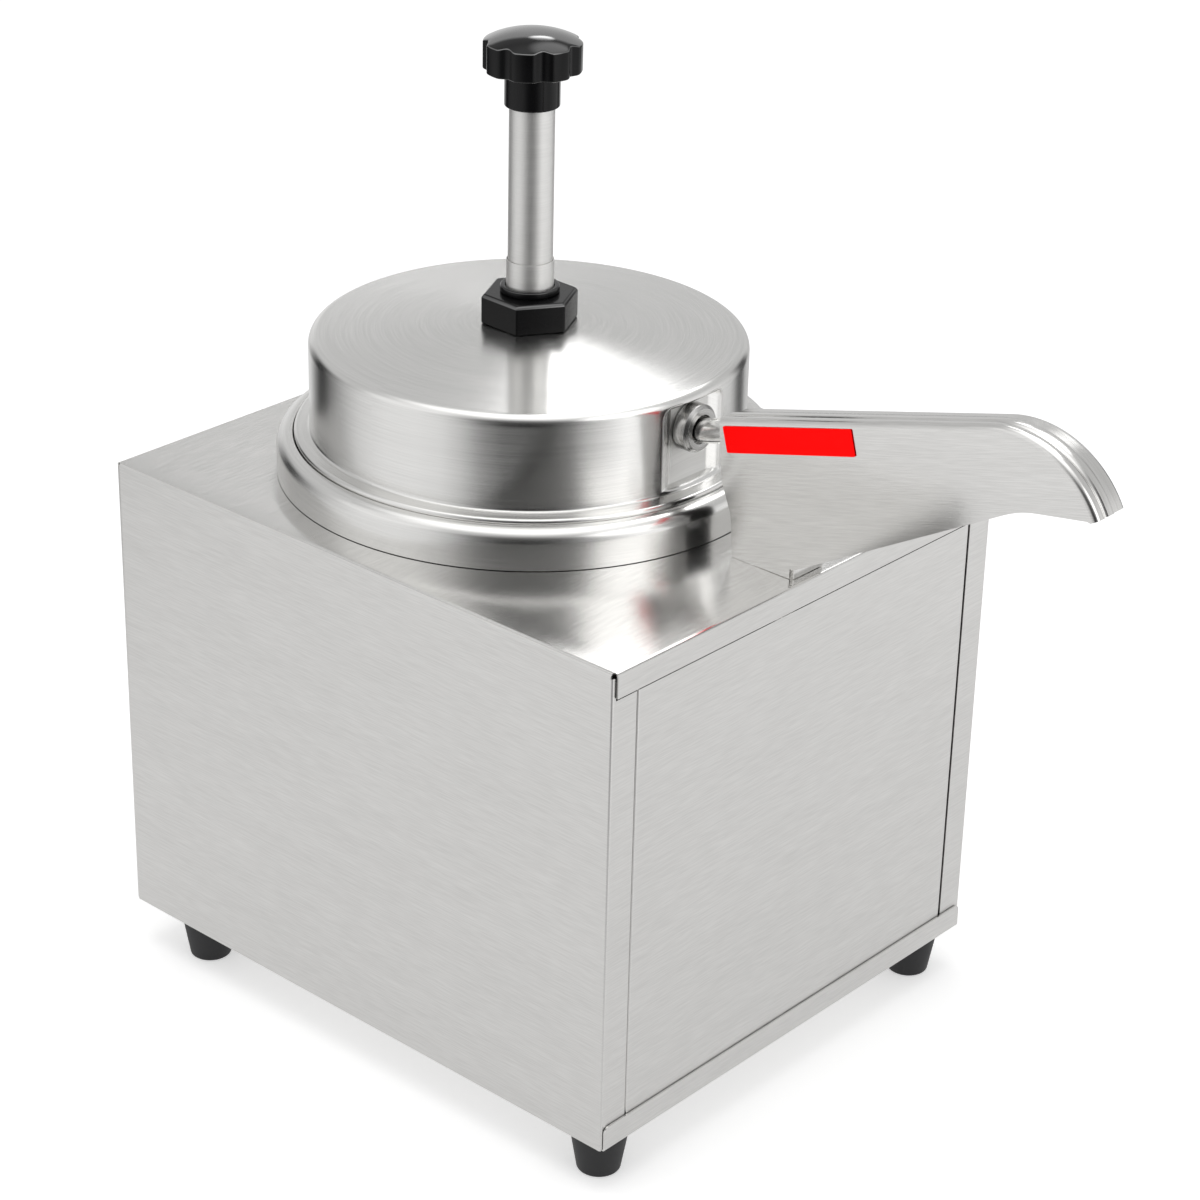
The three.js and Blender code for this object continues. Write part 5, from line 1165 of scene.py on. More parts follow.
nut_black = gloss_black("nut_black", "nut_plastic", 0.16, 0.6, 0.12)
nut_bottom, nut_top, nut_corner, nut_turn, nut_round = 69.9, 83.4, 22.0, 27.3, 1.1
corner_turns = [math.radians(nut_turn + 60 * k) for k in range(6)]
hexagon = [(nut_corner * math.cos(turn), nut_corner * math.sin(turn)) for turn in corner_turns]
hexagon = rounded_outline(hexagon, nut_round, 5)
nut = Form(well_centre)
nut_layers = [(nut_bottom, 0.985), (nut_bottom + 0.4, 1.0), (nut_top - 1.5, 1.0), (nut_top - 1.0, 0.985),
              (nut_top - 0.35, 0.955), (nut_top, 0.925)]
bore = arc(0, 0, neck_radius + 0.3, 0, 360, len(hexagon))[:-1]
mouth = arc(0, 0, rod_way, 0, 360, len(hexagon))[:-1]


def ring_near(points, targets):
    """The points of one ring put in the order of the nearest points of another"""
    start = min(range(len(points)), key=lambda k: math.dist(points[k], targets[0]))
    return points[start:] + points[:start]


bore, mouth = ring_near(bore, hexagon), ring_near(mouth, hexagon)
bore_top = nut_top - 1.1
nut_rows = [(bore, 1, nut_bottom), *[(hexagon, share, z) for z, share in nut_layers], (mouth, 1.04, nut_top),
            (mouth, 1, nut_top - 0.4), (mouth, 1, bore_top), (bore, 1, bore_top), (bore, 1, nut_bottom)]
nut.grid([[(x * share, y * share, z) for x, y in ring] for ring, share, z in nut_rows], around=True)
finished(loose(nut, "lid_lock_nut_moulded"), "pump", nut_black, "lid_lock_nut", crease=28)

# Rod wiper and guide sleeve
# A moulded rubber ring on the nut wipes the rod, and a thin sleeve of polished stainless guides it
# through the neck.
wiper_rubber = gloss_black("wiper_rubber", "black_rubber", 0.22, 0.35, 0.2)
wiper = Form(well_centre)
wiper_low, wiper_high, wiper_radius = nut_top + 0.3, nut_top + 3.2, 13.2
wiper_outline = [(rod_way, wiper_low), (wiper_radius, wiper_low, 0.5), (wiper_radius, wiper_high, 1.1),
                 (rod_way, wiper_high, 0.6)]
lathe(wiper, rounded_outline(wiper_outline, 0.3, 5), 64)
finished(loose(wiper, "rod_wiper_moulded"), "pump", wiper_rubber, "rod_wiper")
rod_steel = turned_metal(
    "polished_rod_steel", "polished", (0.78, 0.775, 0.76), (0.87, 0.865, 0.85), 0.46, 0.0,
    centre=axis_metres, relief=0.02, lines=2.6, size=0.01,
)
guide = Form(well_centre)
guide_bore, guide_radius, guide_foot, guide_top = 10.2, 10.55, -14, 98.5
guide_outline = [(guide_bore, guide_foot), (guide_radius, guide_foot), (guide_radius, guide_top, 0.12),
                 (guide_bore, guide_top, 0.1)]
lathe(guide, rounded_outline(guide_outline, 0.1, 4), 64)
finished(loose(guide, "rod_guide_polished"), "pump", rod_steel, "rod_guide")

# Pump barrel, valve body and pin
# Under the lid the barrel stands in the valve body, which carries the two ball valves. A cross pin
# keeps the inlet ball in its chamber.
barrel = Form(well_centre)
barrel_bore, barrel_radius, barrel_foot, barrel_top = 12.3, 14.3, -130.7, 57.7
barrel_outline = [(barrel_bore, barrel_foot), (barrel_radius, barrel_foot, 0.6),
                  (barrel_radius, barrel_top, 0.6), (barrel_bore, barrel_top)]
lathe(barrel, rounded_outline(barrel_outline, 0.3), 64)
finished(loose(barrel, "pump_barrel_turned"), "pump", turned_steel, "pump_cylinder")


def joined_copy(node_name, name, flat_angle=None):
    """A copy of a solid with its loose faces joined, and those within flat_angle degrees made one"""
    piece = bpy.data.objects.new(name, nodes[node_name].data.copy())
    bpy.context.scene.collection.objects.link(piece)
    shape = bmesh.new()
    shape.from_mesh(piece.data)
    bmesh.ops.remove_doubles(shape, verts=shape.verts, dist=weld)
    if flat_angle:
        bmesh.ops.dissolve_limit(
            shape, angle_limit=math.radians(flat_angle), verts=shape.verts, edges=shape.edges
        )
    shape.to_mesh(piece.data)
    shape.free()
    return piece


def copied(node_name, name, body, material, width, segments=3, crease=32):
    """A closer copy of a solid, with its sharp edges broken"""
    piece = joined_copy(node_name, name, 1.0)
    broken = piece.modifiers.new("broken_edges", "BEVEL")
    broken.width = width / 1000
    broken.segments = segments
    broken.limit_method = "ANGLE"
    broken.angle_limit = math.radians(40)
    return finished(baked(piece), body, material, node_name, crease=crease)


copied("valve_body", "valve_body_cast", "pump", turned_steel, 0.35)
pin_half, pin_radius, pin_level = 17.2, 1, -134.5
pin_outline = rounded_outline(
    [(0, -pin_half, 0), (pin_radius, -pin_half, 0.3), (pin_radius, pin_half, 0.3), (0, pin_half, 0)],
    0.3, closed=False,
)
pin = Form((0, well_back, deck_height + pin_level))
pin_turns = [2 * math.pi * k / 20 for k in range(20)]
pin.grid([[(h, r * math.cos(a), r * math.sin(a)) for r, h in pin_outline] for a in pin_turns], along=True)
finished(loose(pin, "ball_pin_bright"), "pump", bright_steel, "ball_pin")

# Valve balls
# Two polished steel balls, the inlet's under the barrel and the outlet's under the riser, each free on
# the edge of its seat's bore.
outlet_y = -32
for node_name, radius, y, seat_height, seat_bore in [("inlet_ball", 7, 0, -152, 4.5),
                                                     ("outlet_ball", 6, outlet_y, -142, 4)]:
    ball_height = seat_height + math.sqrt(radius**2 - seat_bore**2) + lift_off
    ball = Form((0, well_back + y, deck_height + ball_height))
    lathe(ball, [(abs(u), v) for u, v in arc(0, 0, radius, -90, 90, 24)], 48)
    finished(loose(ball, node_name + "_polished"), node_name, rod_steel, node_name)


# Riser tube and discharge fitting
# The riser carries the fudge from the outlet valve up beside the barrel to the fitting in the pad.
# The fitting is turned, with a flange inside the lid and a gasket under it.
def swept(form, path, sections, sides):
    """Rings of the given radii carried along a path in the upright plane through the spout"""
    points = [Vector((0, y, z)) for y, z in path]
    sideways = Vector((1, 0, 0))
    turns = [2 * math.pi * k / sides for k in range(sides)]
    rows = []
    for radius, backwards in sections:
        indices = range(len(points) - 1, -1, -1) if backwards else range(len(points))
        for i in indices:
            way = (points[min(i + 1, len(points) - 1)] - points[max(i - 1, 0)]).normalized()
            upward = sideways.cross(way)
            spokes = [math.cos(a) * sideways + math.sin(a) * upward for a in turns]
            rows.append([tuple(points[i] + radius * spoke) for spoke in spokes])
    return form.grid(rows, around=True, along=True)


riser_bend, riser_radius, riser_bore = 16, 7, 5.5
riser_path = [
    (outlet_y, -130.4), *[(outlet_y, z) for z in np.linspace(-120, 20, 12)],
    *arc(outlet_y - riser_bend, fitting_height - riser_bend, riser_bend, 0, 90, 12),
    (-60, fitting_height), (-88.7, fitting_height),
]
riser = Form(well_centre)
swept(riser, riser_path, [(riser_radius, False), (riser_bore, True)], 40)
finished(loose(riser, "riser_tube_drawn"), "pump", drawn_steel, "riser_tube")
fitting_centre = (0, well_back, deck_height + fitting_height)
spout_axis = (0, 0, fitting_level)
spout_steel = turned_metal(
    "turned_spout_steel", "polished", (0.74, 0.735, 0.72), (0.86, 0.855, 0.84), 0.18, 0.35,
    axis="Y", centre=spout_axis, relief=0.02, lines=3.0, size=0.008,
)
fitting = Form(fitting_centre)
riser_way, tube_bore, fitting_end, fitting_flange = 7.3, 4.4, -96.4, 13
fitting_outline = rounded_outline(
    [(riser_way, -84), (10, -84, 0.6), (10, -89, 0.3), (fitting_flange, -89, 0.6), (fitting_flange, -91, 0.3),
     (9, -91, 0.2), (9, pad_plane, 0.2), (8.3, pad_plane, 0.1), (8.3, fitting_end, 0.4),
     (tube_bore, fitting_end, 0.3), (tube_bore, -89, 0.2), (riser_way, -89, 0.2)], 0.3,
)
lathe(fitting, fitting_outline, 64, "Y")
finished(loose(fitting, "discharge_fitting_turned"), "pump", spout_steel, "discharge_fitting")
fitting_gasket = Form(fitting_centre)
seal_outline = [(9.3, -91.3), (fitting_flange, -91.3), (fitting_flange, -92.0), (9.3, -92.0)]
lathe(fitting_gasket, rounded_outline(seal_outline, 0.2), 64, "Y")
finished(loose(fitting_gasket, "fitting_gasket_moulded"), "pump", off_white, "fitting_gasket")

# Union nut
# A plain round nut of turned steel that draws the discharge tube onto the fitting.
union_steel = turned_metal(
    "union_nut_steel", "polished", (0.44, 0.436, 0.428), (0.58, 0.575, 0.565), 0.26, 0.35,
    axis="Y", centre=spout_axis, relief=0.04, lines=2.0, size=0.008,
)
union = Form(fitting_centre)
union_radius, union_thread, union_way, union_start, union_end = 10.7, 8.6, 6.5, pad_plane - 0.3, -101.0
union_outline = rounded_outline(
    [(union_thread, union_start), (union_radius, union_start, 0.3), (union_radius, -99.4, 0.5),
     (9.3, union_end, 0.4), (union_way, union_end, 0.3), (union_way, -98, 0.2), (union_thread, -98, 0.2)],
    0.3, 4,
)
lathe(union, union_outline, 72, "Y")
finished(loose(union, "union_nut_turned"), "union", union_steel, "union_nut")

# Shroud
# Two halves of 0.7 mm brushed sheet make a tall narrow cover over the discharge tube. Each has a
# side plate and a rounded top fold; the left half laps over the right along the top.
slope = math.radians(15.5)
shroud_half, shroud_fold, shroud_sheet, nose_radius = 10.6, 2.8, 0.7, 48.6
rear_y, rear_height, top_run = 48.1, 60.6, 137.7
outward = (math.sin(slope), math.cos(slope))


def shroud_line(inset, straight_steps=16, nose_steps=24, turn=77.3):
    """The top line, rising forward and turning down round the nose, as distances back and above the deck"""
    rear = (rear_y - outward[0] * inset, rear_height - outward[1] * inset)
    nose_start = (rear[0] - math.cos(slope) * top_run, rear[1] + math.sin(slope) * top_run)
    radius = nose_radius - inset
    centre = (nose_start[0] - outward[0] * radius, nose_start[1] - outward[1] * radius)
    first = 90 - math.degrees(slope)
    straight = [(rear[0] + (nose_start[0] - rear[0]) * t, rear[1] + (nose_start[1] - rear[1]) * t)
                for t in np.linspace(0, 1, straight_steps + 1)]
    return straight[:-1] + arc(*centre, radius, first, first + turn, nose_steps)


# The plate's lower edge, from the mouth back along the floor to the foot on the deck, and up the rear
mouth_y, mouth_height, floor_y, floor_height, foot_y = -104.9, 66.9, 4.3, 4.7, 6.3
shroud_lower = [(-135.6, 72.2, 0), (mouth_y, mouth_height, 45), (floor_y, floor_height, 0),
                (foot_y, floor_height, 0), (foot_y, lift_off, 0), (37.6, lift_off, 0), (39.2, 18.9, 6),
                (44.9, 33.3, 6)]


def shroud_skin(side, across_top, drop):
    """One half's sheet: its strip of the top, its round fold and its side plate"""
    skin = Form((0, 0, deck_height))
    rows = [[(x, y, z) for y, z in shroud_line(drop + dip)] for x, dip in across_top]
    for u, v in arc(0, 0, shroud_fold, 90, 0, 8):
        x = side * (shroud_half - shroud_fold + u)
        rows.append([(x, y, z) for y, z in shroud_line(drop + shroud_fold - v)])
    support = shroud_line(drop + shroud_fold + 0.6)
    rows.append([(side * shroud_half, y, z) for y, z in support])
    skin.grid(rows)
    lower = rounded_outline(shroud_lower, closed=False, steps=6)
    skin.face([(side * shroud_half, y, z) for y, z in support + lower])
    return skin


def spout_across(tree, coords):
    split = laid(tree, "ShaderNodeSeparateXYZ", {0: coords.outputs["Object"]}).outputs
    rise = reckon(tree, "MULTIPLY", split["Z"], math.cos(slope))
    rise = reckon(tree, "MULTIPLY_ADD", split["Y"], math.sin(slope), rise)
    return blended(tree, facing_mask(tree, coords, "X"), split["X"], rise)


def spout_along(tree, coords):
    split = laid(tree, "ShaderNodeSeparateXYZ", {0: coords.outputs["Object"]}).outputs
    return reckon(
        tree, "SUBTRACT", reckon(tree, "MULTIPLY", split["Z"], math.sin(slope)),
        reckon(tree, "MULTIPLY", split["Y"], math.cos(slope)),
    )


def spout_tangent(tree, coords):
    side = facing_mask(tree, coords, "X")
    return laid(
        tree,
        "ShaderNodeCombineXYZ",
        {
            "X": reckon(tree, "SUBTRACT", 1.0, side),
            "Y": reckon(tree, "MULTIPLY", side, math.sin(slope)),
            "Z": reckon(tree, "MULTIPLY", side, math.cos(slope)),
        },
    ).outputs[0]


shroud_steel = brushed_metal(
    "brushed_shroud_steel", "brushed", (0.70, 0.693, 0.678), (0.83, 0.823, 0.808), 0.17, 0.55,
    spout_across, spout_along, spout_tangent, relief=0.03,
)
# Places across the top and how far each dips: the left half has a shallow groove pressed along it
left_top = [(1.0, 0.12), (0.7, 0.0), (-2.0, 0.0), (-2.7, 0.12), (-3.2, 0.6), (-3.8, 0.95), (-4.5, 0.75),
            (-5.3, 0.25), (-6.3, 0.05), (-7.2, 0.0)]
right_top = [(-3.0, 0), (7.2, 0)]
lap = 1.0
halves = [("shroud_left", -1, left_top, 0.0), ("shroud_right", 1, right_top, lap)]
for node_name, side, across_top, drop in halves:
    half = folded(loose(shroud_skin(side, across_top, drop), node_name + "_brushed"), shroud_sheet)
    finished(half, "shroud", shroud_steel, node_name)

# Shroud floor
# A narrow strip of the same sheet between the halves, that rises from the deck's edge to the mouth
# and closes the shroud from below.
floor_slope = math.atan2(mouth_height - floor_height, floor_y - mouth_y)
floor_back, floor_half = 8, 9.6
floor_end_y = mouth_y + floor_back * math.cos(floor_slope)
floor_end = mouth_height - floor_back * math.sin(floor_slope) + lift_off
floor_rise = shroud_sheet / math.cos(floor_slope)
floor_strip = Form((0, 0, deck_height))
floor_strip.prism(
    [(4.6, lift_off), (5.3, lift_off), (5.3, 4.4 + floor_rise), (floor_y, floor_height + floor_rise),
     (floor_end_y, floor_end + floor_rise), (floor_end_y, floor_end), (4.6, floor_height)],
    lambda p: (-floor_half, *p),
    lambda p: (floor_half, *p),
)
finished(loose(floor_strip, "shroud_floor_brushed"), "shroud", shroud_steel, "shroud_floor")

# Red strip
# A plain strip of red plastic film, stuck along the top of the shroud's left side, with a painted red glow.
film, film_tree, film_shader = new_material("red_film", "red_film")
film_coords = laid(film_tree, "ShaderNodeTexCoord").outputs["Object"]
film_hands = placed_group(film_tree, handling, {"Vector": film_coords, "Patch mm": 25.0})
film_red = mixed_colour(film_tree, film_hands["Smear"], (0.97, 0.001, 0.001), (1.0, 0.002, 0.002))
film_tree.links.new(film_red, film_shader.inputs["Base Color"])
film_rough = reckon(film_tree, "MULTIPLY_ADD", film_hands["Smear"], 0.12, 0.40)
film_tree.links.new(film_rough, film_shader.inputs["Roughness"])
film_shader.inputs["Specular IOR Level"].default_value = 0.06
# Painted glow: the film gives off red light of its own, though it is no lamp, except where it is seen in
# reflections
film_rays = laid(film_tree, "ShaderNodeLightPath").outputs["Is Glossy Ray"]
film_painted_glow = mixed_colour(film_tree, film_rays, (0.9, 0.0, 0.0), (0.0, 0.0, 0.0))
film_tree.links.new(film_painted_glow, film_shader.inputs["Emission Color"])
film_shader.inputs["Emission Strength"].default_value = 0.38
film_ripple = laid(film_tree, "ShaderNodeTexNoise", {"Vector": film_coords, "Scale": 160.0, "Detail": 2.0})
film_bump = laid(
    film_tree, "ShaderNodeBump", {"Strength": 0.15, "Distance": 0.0003, "Height": film_ripple.outputs["Fac"]}
)
film_tree.links.new(film_bump.outputs[0], film_shader.inputs["Normal"])
strip_drop, strip_start, strip_end, strip_width, strip_corner = 3.2, 2.2, 71.2, 11.6, 0.7
film_gap, film_thickness = 0.3, 0.3
strip_rear = (rear_y - outward[0] * strip_drop, rear_height - outward[1] * strip_drop)


def on_strip(run, drop):
    """A place on the shroud's side, from a run along its top line and a drop square to it"""
    return (strip_rear[0] - run * math.cos(slope) - drop * math.sin(slope),
            strip_rear[1] + run * math.sin(slope) - drop * math.cos(slope))


strip_outline = [(strip_start, 0), (strip_end, 0), (strip_end, strip_width), (strip_start, strip_width)]
strip = Form((0, 0, deck_height))
strip.prism(
    rounded_outline(strip_outline, strip_corner, 4),
    lambda p: (-shroud_half - film_gap, *on_strip(*p)),
    lambda p: (-shroud_half - film_gap - film_thickness, *on_strip(*p)),
)
finished(loose(strip, "red_strip_film"), "shroud", film, "caution_strip")

# Discharge tube
# Bent stainless tube with a flange for the union nut. It runs along under the shroud's top and turns
# down inside the nose.
tube_radius, tube_end, tube_drop, tube_turn = 5.5, 69.5, 7.8, 60.0
tube_line = shroud_line(tube_drop, 10, 12, tube_turn)
corner_path = rounded_outline(
    [(67, fitting_height, 0), (63.8, fitting_height, 12), (45.9, 52.3, 60), tube_line[2]], 30, 6, closed=False
)
tube_path = [(tube_end, fitting_height), (67, fitting_height), *corner_path[1:-1], *tube_line[2:]]
tube = Form((0, 0, deck_height))
swept(tube, tube_path, [(tube_radius, False), (tube_bore, True)], 40)
finished(loose(tube, "discharge_tube_bent"), "tube", spout_steel, "discharge_tube")
tube_flange = Form((0, 0, deck_height + fitting_height))
flange_bore, flange_edge, flange_wall = tube_radius - 0.1, 8, 1
flange_start = tube_end - flange_wall
flange_outline = [(flange_bore, flange_start), (flange_edge, flange_start), (flange_edge, tube_end),
                  (flange_bore, tube_end)]
lathe(tube_flange, rounded_outline(flange_outline, 0.3), 56, "Y")
finished(loose(tube_flange, "discharge_tube_flange"), "tube", spout_steel)

# Plunger rod
# Polished stainless tube, plugged at the top, with a turned stud that the knob screws onto.
rod = Form(well_centre)
rod_radius, rod_bore, rod_foot, rod_top, plug, stud_radius, stud_top = 9.95, 8.5, -14, 174.7, 4, 4, 184.7
plug_foot = rod_top - plug
rod_outline = rounded_outline(
    [(0, plug_foot, 0), (rod_bore, plug_foot, 0), (rod_bore, rod_foot, 0.2), (rod_radius, rod_foot, 0.3),
     (rod_radius, rod_top, 0.5), (stud_radius, rod_top, 0.1), (stud_radius, stud_top, 0.5), (0, stud_top, 0)],
    0.2, closed=False,
)
lathe(rod, rod_outline, 72)
finished(loose(rod, "plunger_rod_polished"), "plunger", rod_steel, "plunger_rod")

# Star knob
# Glossy black moulded plastic, eight lobes and a low crown over a plain hub.
knob_black = gloss_black("knob_black", "black_plastic", 0.08, 0.9, 1.0)
knob_turn = math.radians(32.3)
knob_lobes, knob_radius = 8, 21.4
rim_low, rim_high = 183.3, 196.6
scoop_half, scoop_depth = math.radians(13.5), 1.9
knob_top = (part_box("star_knob")[1].z - underside) * 1000 - deck_height
crown_rise = knob_top - rim_high


def lobed(inset, sides=240):
    """The rim's outline: broad lobes parted by narrow scoops with soft lips"""
    points = []
    lobe_turn = 2 * math.pi / knob_lobes
    for k in range(sides):
        a = 2 * math.pi * k / sides
        share = ((a - knob_turn) % lobe_turn - lobe_turn / 2) / scoop_half
        radius = knob_radius - inset - scoop_depth * math.cos(min(1.0, abs(share)) * math.pi / 2) ** 2
        points.append((radius * math.cos(a), radius * math.sin(a)))
    return points


def plain_round(radius, sides=240):
    return arc(0, 0, radius, 0, 360, sides)[:-1]


def at_height(z, points):
    return [(x, y, z) for x, y in points]


def crown_height(radius):
    """The height of the crown, which falls from the middle to where its curve meets the rim"""
    crown_reach, crown_power = 19.8, 2.3
    return rim_high + crown_rise * (0.998 - (radius / crown_reach) ** crown_power)


# From the hub's foot up to the rim's underside
hub_foot, hub_radius, hub_bend, rod_socket, stud_socket = 167.7, 12.1, 0.7, 10.25, 4.3
hub_edge = hub_radius - hub_bend
knob_rows = [at_height(hub_foot, plain_round(rod_socket)), at_height(hub_foot, plain_round(hub_edge))]
hub_stations = [(hub_foot + hub_bend * (1 - math.cos(a)), hub_edge + hub_bend * math.sin(a))
                for a in np.linspace(0.3, math.pi / 2, 4)]
hub_stations += [(181.0, hub_radius), (182.5, 12.5), (183.1, 13.6)]
knob_rows += [at_height(z, plain_round(radius)) for z, radius in hub_stations]
under = 0.9
knob_rows += [at_height(rim_low, lobed(4.0)), at_height(rim_low, lobed(under + 0.6))]
knob_rows += [at_height(rim_low + under * (1 - math.cos(a)), lobed(under * (1 - math.sin(a))))
              for a in np.linspace(0.2, math.pi / 2, 5)]

# The rim's round lip, then the crown in to its middle
lip, lip_end = 1.2, math.radians(62)
crown_edge = lobed(lip * (1 - math.cos(lip_end)))
edge_heights = [crown_height(math.hypot(x, y)) for x, y in crown_edge]
for a in np.linspace(0, lip_end, 7):
    lip_edge = lobed(lip * (1 - math.cos(a)))
    below_crown = lip * (math.sin(a) - math.sin(lip_end))
    knob_rows.append([(x, y, height + below_crown) for (x, y), height in zip(lip_edge, edge_heights)])
for inward in np.linspace(0.06, 0.97, 14):
    drawn_in = [(x * (1 - inward), y * (1 - inward)) for x, y in crown_edge]
    knob_rows.append([(x, y, crown_height(math.hypot(x, y))) for x, y in drawn_in])
knob = Form(well_centre)
knob.grid(knob_rows, around=True)
knob.face(knob_rows[-1])
socket_top, stud_end = rod_top + 0.3, stud_top + 0.3
sockets = [(hub_foot, rod_socket), (socket_top, rod_socket), (socket_top, stud_socket),
           (stud_end, stud_socket)]
knob.grid([at_height(z, plain_round(radius)) for z, radius in sockets], around=True)
knob.face(at_height(stud_end, plain_round(stud_socket)))
finished(loose(knob, "star_knob_moulded"), "plunger", knob_black, "star_knob", crease=50)

# Piston, seal and spring
# A white plastic piston on the rod's foot with a silicone ring in its groove, over the return spring.
piston = Form(well_centre)
piston_radius, spigot_radius, spigot_top, piston_top, piston_foot = 12, 8.2, -2.3, -14.3, -28.3
groove_radius, groove_top, groove_foot = 10.4, -19.05, -23.55
piston_outline = rounded_outline(
    [(0, spigot_top, 0), (spigot_radius, spigot_top, 0.6), (spigot_radius, piston_top, 0.2),
     (piston_radius, piston_top, 0.6), (piston_radius, groove_top, 0.2), (groove_radius, groove_top, 0.2),
     (groove_radius, groove_foot, 0.2), (piston_radius, groove_foot, 0.2), (piston_radius, piston_foot, 0.6),
     (0, piston_foot, 0)], 0.2, closed=False,
)
lathe(piston, piston_outline, 56)
finished(loose(piston, "piston_moulded"), "plunger", off_white, "piston")
seal_silicone = moulded("seal_silicone", "silicone", (0.55, 0.53, 0.48), 0.4, 0.5, 0.1, lift=1.1)
seal = Form(well_centre)
seal_bore, seal_radius, seal_foot, seal_top = groove_radius + 0.3, 12.15, groove_foot + 0.3, groove_top - 0.3
seal_outline = [(seal_bore, seal_foot), (seal_radius, seal_foot, 0.9), (seal_radius, seal_top, 0.9),
                (seal_bore, seal_top)]
lathe(seal, rounded_outline(seal_outline, 0.3, 5), 56)
finished(loose(seal, "piston_seal_moulded"), "plunger", seal_silicone, "piston_seal")


def coil_tree():
    """A geometry tree that winds a wire into a coil"""
    tree, into = geometry_tree(
        "wound_coil", Turns="Float", Radius="Float", Height="Float", Wire="Float", Foot="Vector",
        Material="Material",
    )
    spiral = laid(
        tree,
        "GeometryNodeCurveSpiral",
        {"Resolution": 28, "Rotations": into["Turns"], "Height": into["Height"],
         "Start Radius": into["Radius"], "End Radius": into["Radius"]},
    )
    section = laid(tree, "GeometryNodeCurvePrimitiveCircle", {"Resolution": 10, "Radius": into["Wire"]})
    wire = laid(
        tree,
        "GeometryNodeCurveToMesh",
        {"Curve": spiral.outputs[0], "Profile Curve": section.outputs[0], "Fill Caps": True},
    )
    stood = laid(tree, "GeometryNodeTransform", {"Geometry": wire.outputs[0], "Translation": into["Foot"]})
    return painted_out(tree, stood.outputs[0], into["Material"])


wire_radius, coil_radius, spring_turns = 0.0008, 0.0096, 11.0
spring_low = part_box("plunger_spring")[0].z + wire_radius
spring_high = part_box("plunger_spring")[1].z - wire_radius
spring = grown(
    "plunger_spring_wound", coil_tree(), turns=spring_turns, radius=coil_radius, wire=wire_radius,
    height=spring_high - spring_low, foot=(0, axis_metres[1], spring_low), material=bright_steel,
)
finished(spring, "pump", bright_steel, "plunger_spring")
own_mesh(spring)

# Thermostat and its dial
# A moulded thermostat body behind the rear panel, its drawn copper bulb under the pan, and a black
# moulded dial, pushed onto the shaft, with a pointer line and plain marks.
body_back, body_radius, shaft_radius, shaft_end = 274.9, 16, 3, 310.5
body_outline = rounded_outline(
    [(0, body_back, 0), (body_radius, body_back, 1.5), (body_radius, rear_face, 0.6),
     (shaft_radius, rear_face, 0.1), (shaft_radius, shaft_end, 0.4), (0, shaft_end, 0)], 0.3, closed=False,
)
dial_centre = (dial_place[0], 0, dial_place[1])
thermostat = Form(dial_centre)
lathe(thermostat, body_outline, 56, "Y")
finished(loose(thermostat, "thermostat_body_moulded"), "cabinet", off_white, "thermostat_body")
copper = brushed_metal(
    "drawn_copper", "copper", (0.62, 0.30, 0.17), (0.78, 0.44, 0.28), 0.35, 0.0,
    panel_across, panel_along, None, relief=0.05, lines=1.2, length=3.0,
)
copied("thermostat_bulb", "thermostat_bulb_drawn", "cabinet", copper, 0.15, 2, crease=50)
dial_black = moulded("dial_black", "black_plastic", (0.008, 0.008, 0.009), 0.24, 0.8, 0.1)
dial = Form(dial_centre)
dial_sides, dial_grips, shaft_way = 144, 24, shaft_radius + 0.3
dial_back, dial_face, shaft_way_end = cabinet_depth + 0.3, cabinet_depth + 15.7, shaft_end + 0.3
# Radius, place along the shaft and how deep the finger grips are there
dial_stations = [
    (shaft_way, dial_back, 0), (18.4, dial_back, 0), (19.0, 300.9, 0), (19.0, 302.0, 0), (18.4, 302.8, 0),
    (15.2, 304.4, 0.4), (14.6, 305.2, 0.9), (14.2, 308.0, 1.0), (13.6, 314.8, 1.0), (13.1, 315.9, 0.8),
    (12.3, 316.3, 0.5), (11.6, 316.2, 0.0), (11.2, dial_face, 0), (0.4, dial_face, 0),
]
dial_rows = []
for radius, y, grip in dial_stations:
    row = []
    for k in range(dial_sides):
        a = 2 * math.pi * k / dial_sides
        r = radius - grip * (0.5 - 0.5 * math.cos(dial_grips * a))
        row.append((r * math.cos(a), y, r * math.sin(a)))
    dial_rows.append(row)
dial.grid(dial_rows, around=True)
dial.face(dial_rows[-1])
way_end = [(x, shaft_way_end, z) for x, _, z in dial_rows[0]]
dial.grid([dial_rows[0], way_end], around=True)
dial.face(way_end)
finished(loose(dial, "thermostat_dial_moulded"), "dial", dial_black, "thermostat_dial", crease=40)


# Dial marks: a pointer line on the dial's face and eleven short marks round its skirt
def marks_tree():
    """A geometry tree that sets short bars out along an arc"""
    tree, into = geometry_tree(
        "ring_of_marks", Marks="Int", Radius="Float", Start="Float", Sweep="Float", Size="Vector",
        Centre="Vector", Turn="Vector", Material="Material",
    )
    bow = laid(
        tree,
        "GeometryNodeCurveArc",
        {"Resolution": into["Marks"], "Radius": into["Radius"],
         "Start Angle": into["Start"], "Sweep Angle": into["Sweep"]},
    )
    on_bow = {"Curve": bow.outputs[0], "Count": into["Marks"]}
    dots = laid(tree, "GeometryNodeCurveToPoints", on_bow, mode="COUNT")
    bar = laid(tree, "GeometryNodeMeshCube", {"Size": into["Size"]})
    aimed = laid(tree, "FunctionNodeAlignRotationToVector", {"Vector": dots.outputs["Tangent"]}, axis="X")
    bars = laid(
        tree,
        "GeometryNodeInstanceOnPoints",
        {"Points": dots.outputs["Points"], "Instance": bar.outputs["Mesh"], "Rotation": aimed.outputs[0]},
    )
    stood = laid(
        tree,
        "GeometryNodeTransform",
        {"Geometry": bars.outputs[0], "Translation": into["Centre"], "Rotation": into["Turn"]},
    )
    return painted_out(tree, stood.outputs[0], into["Material"])


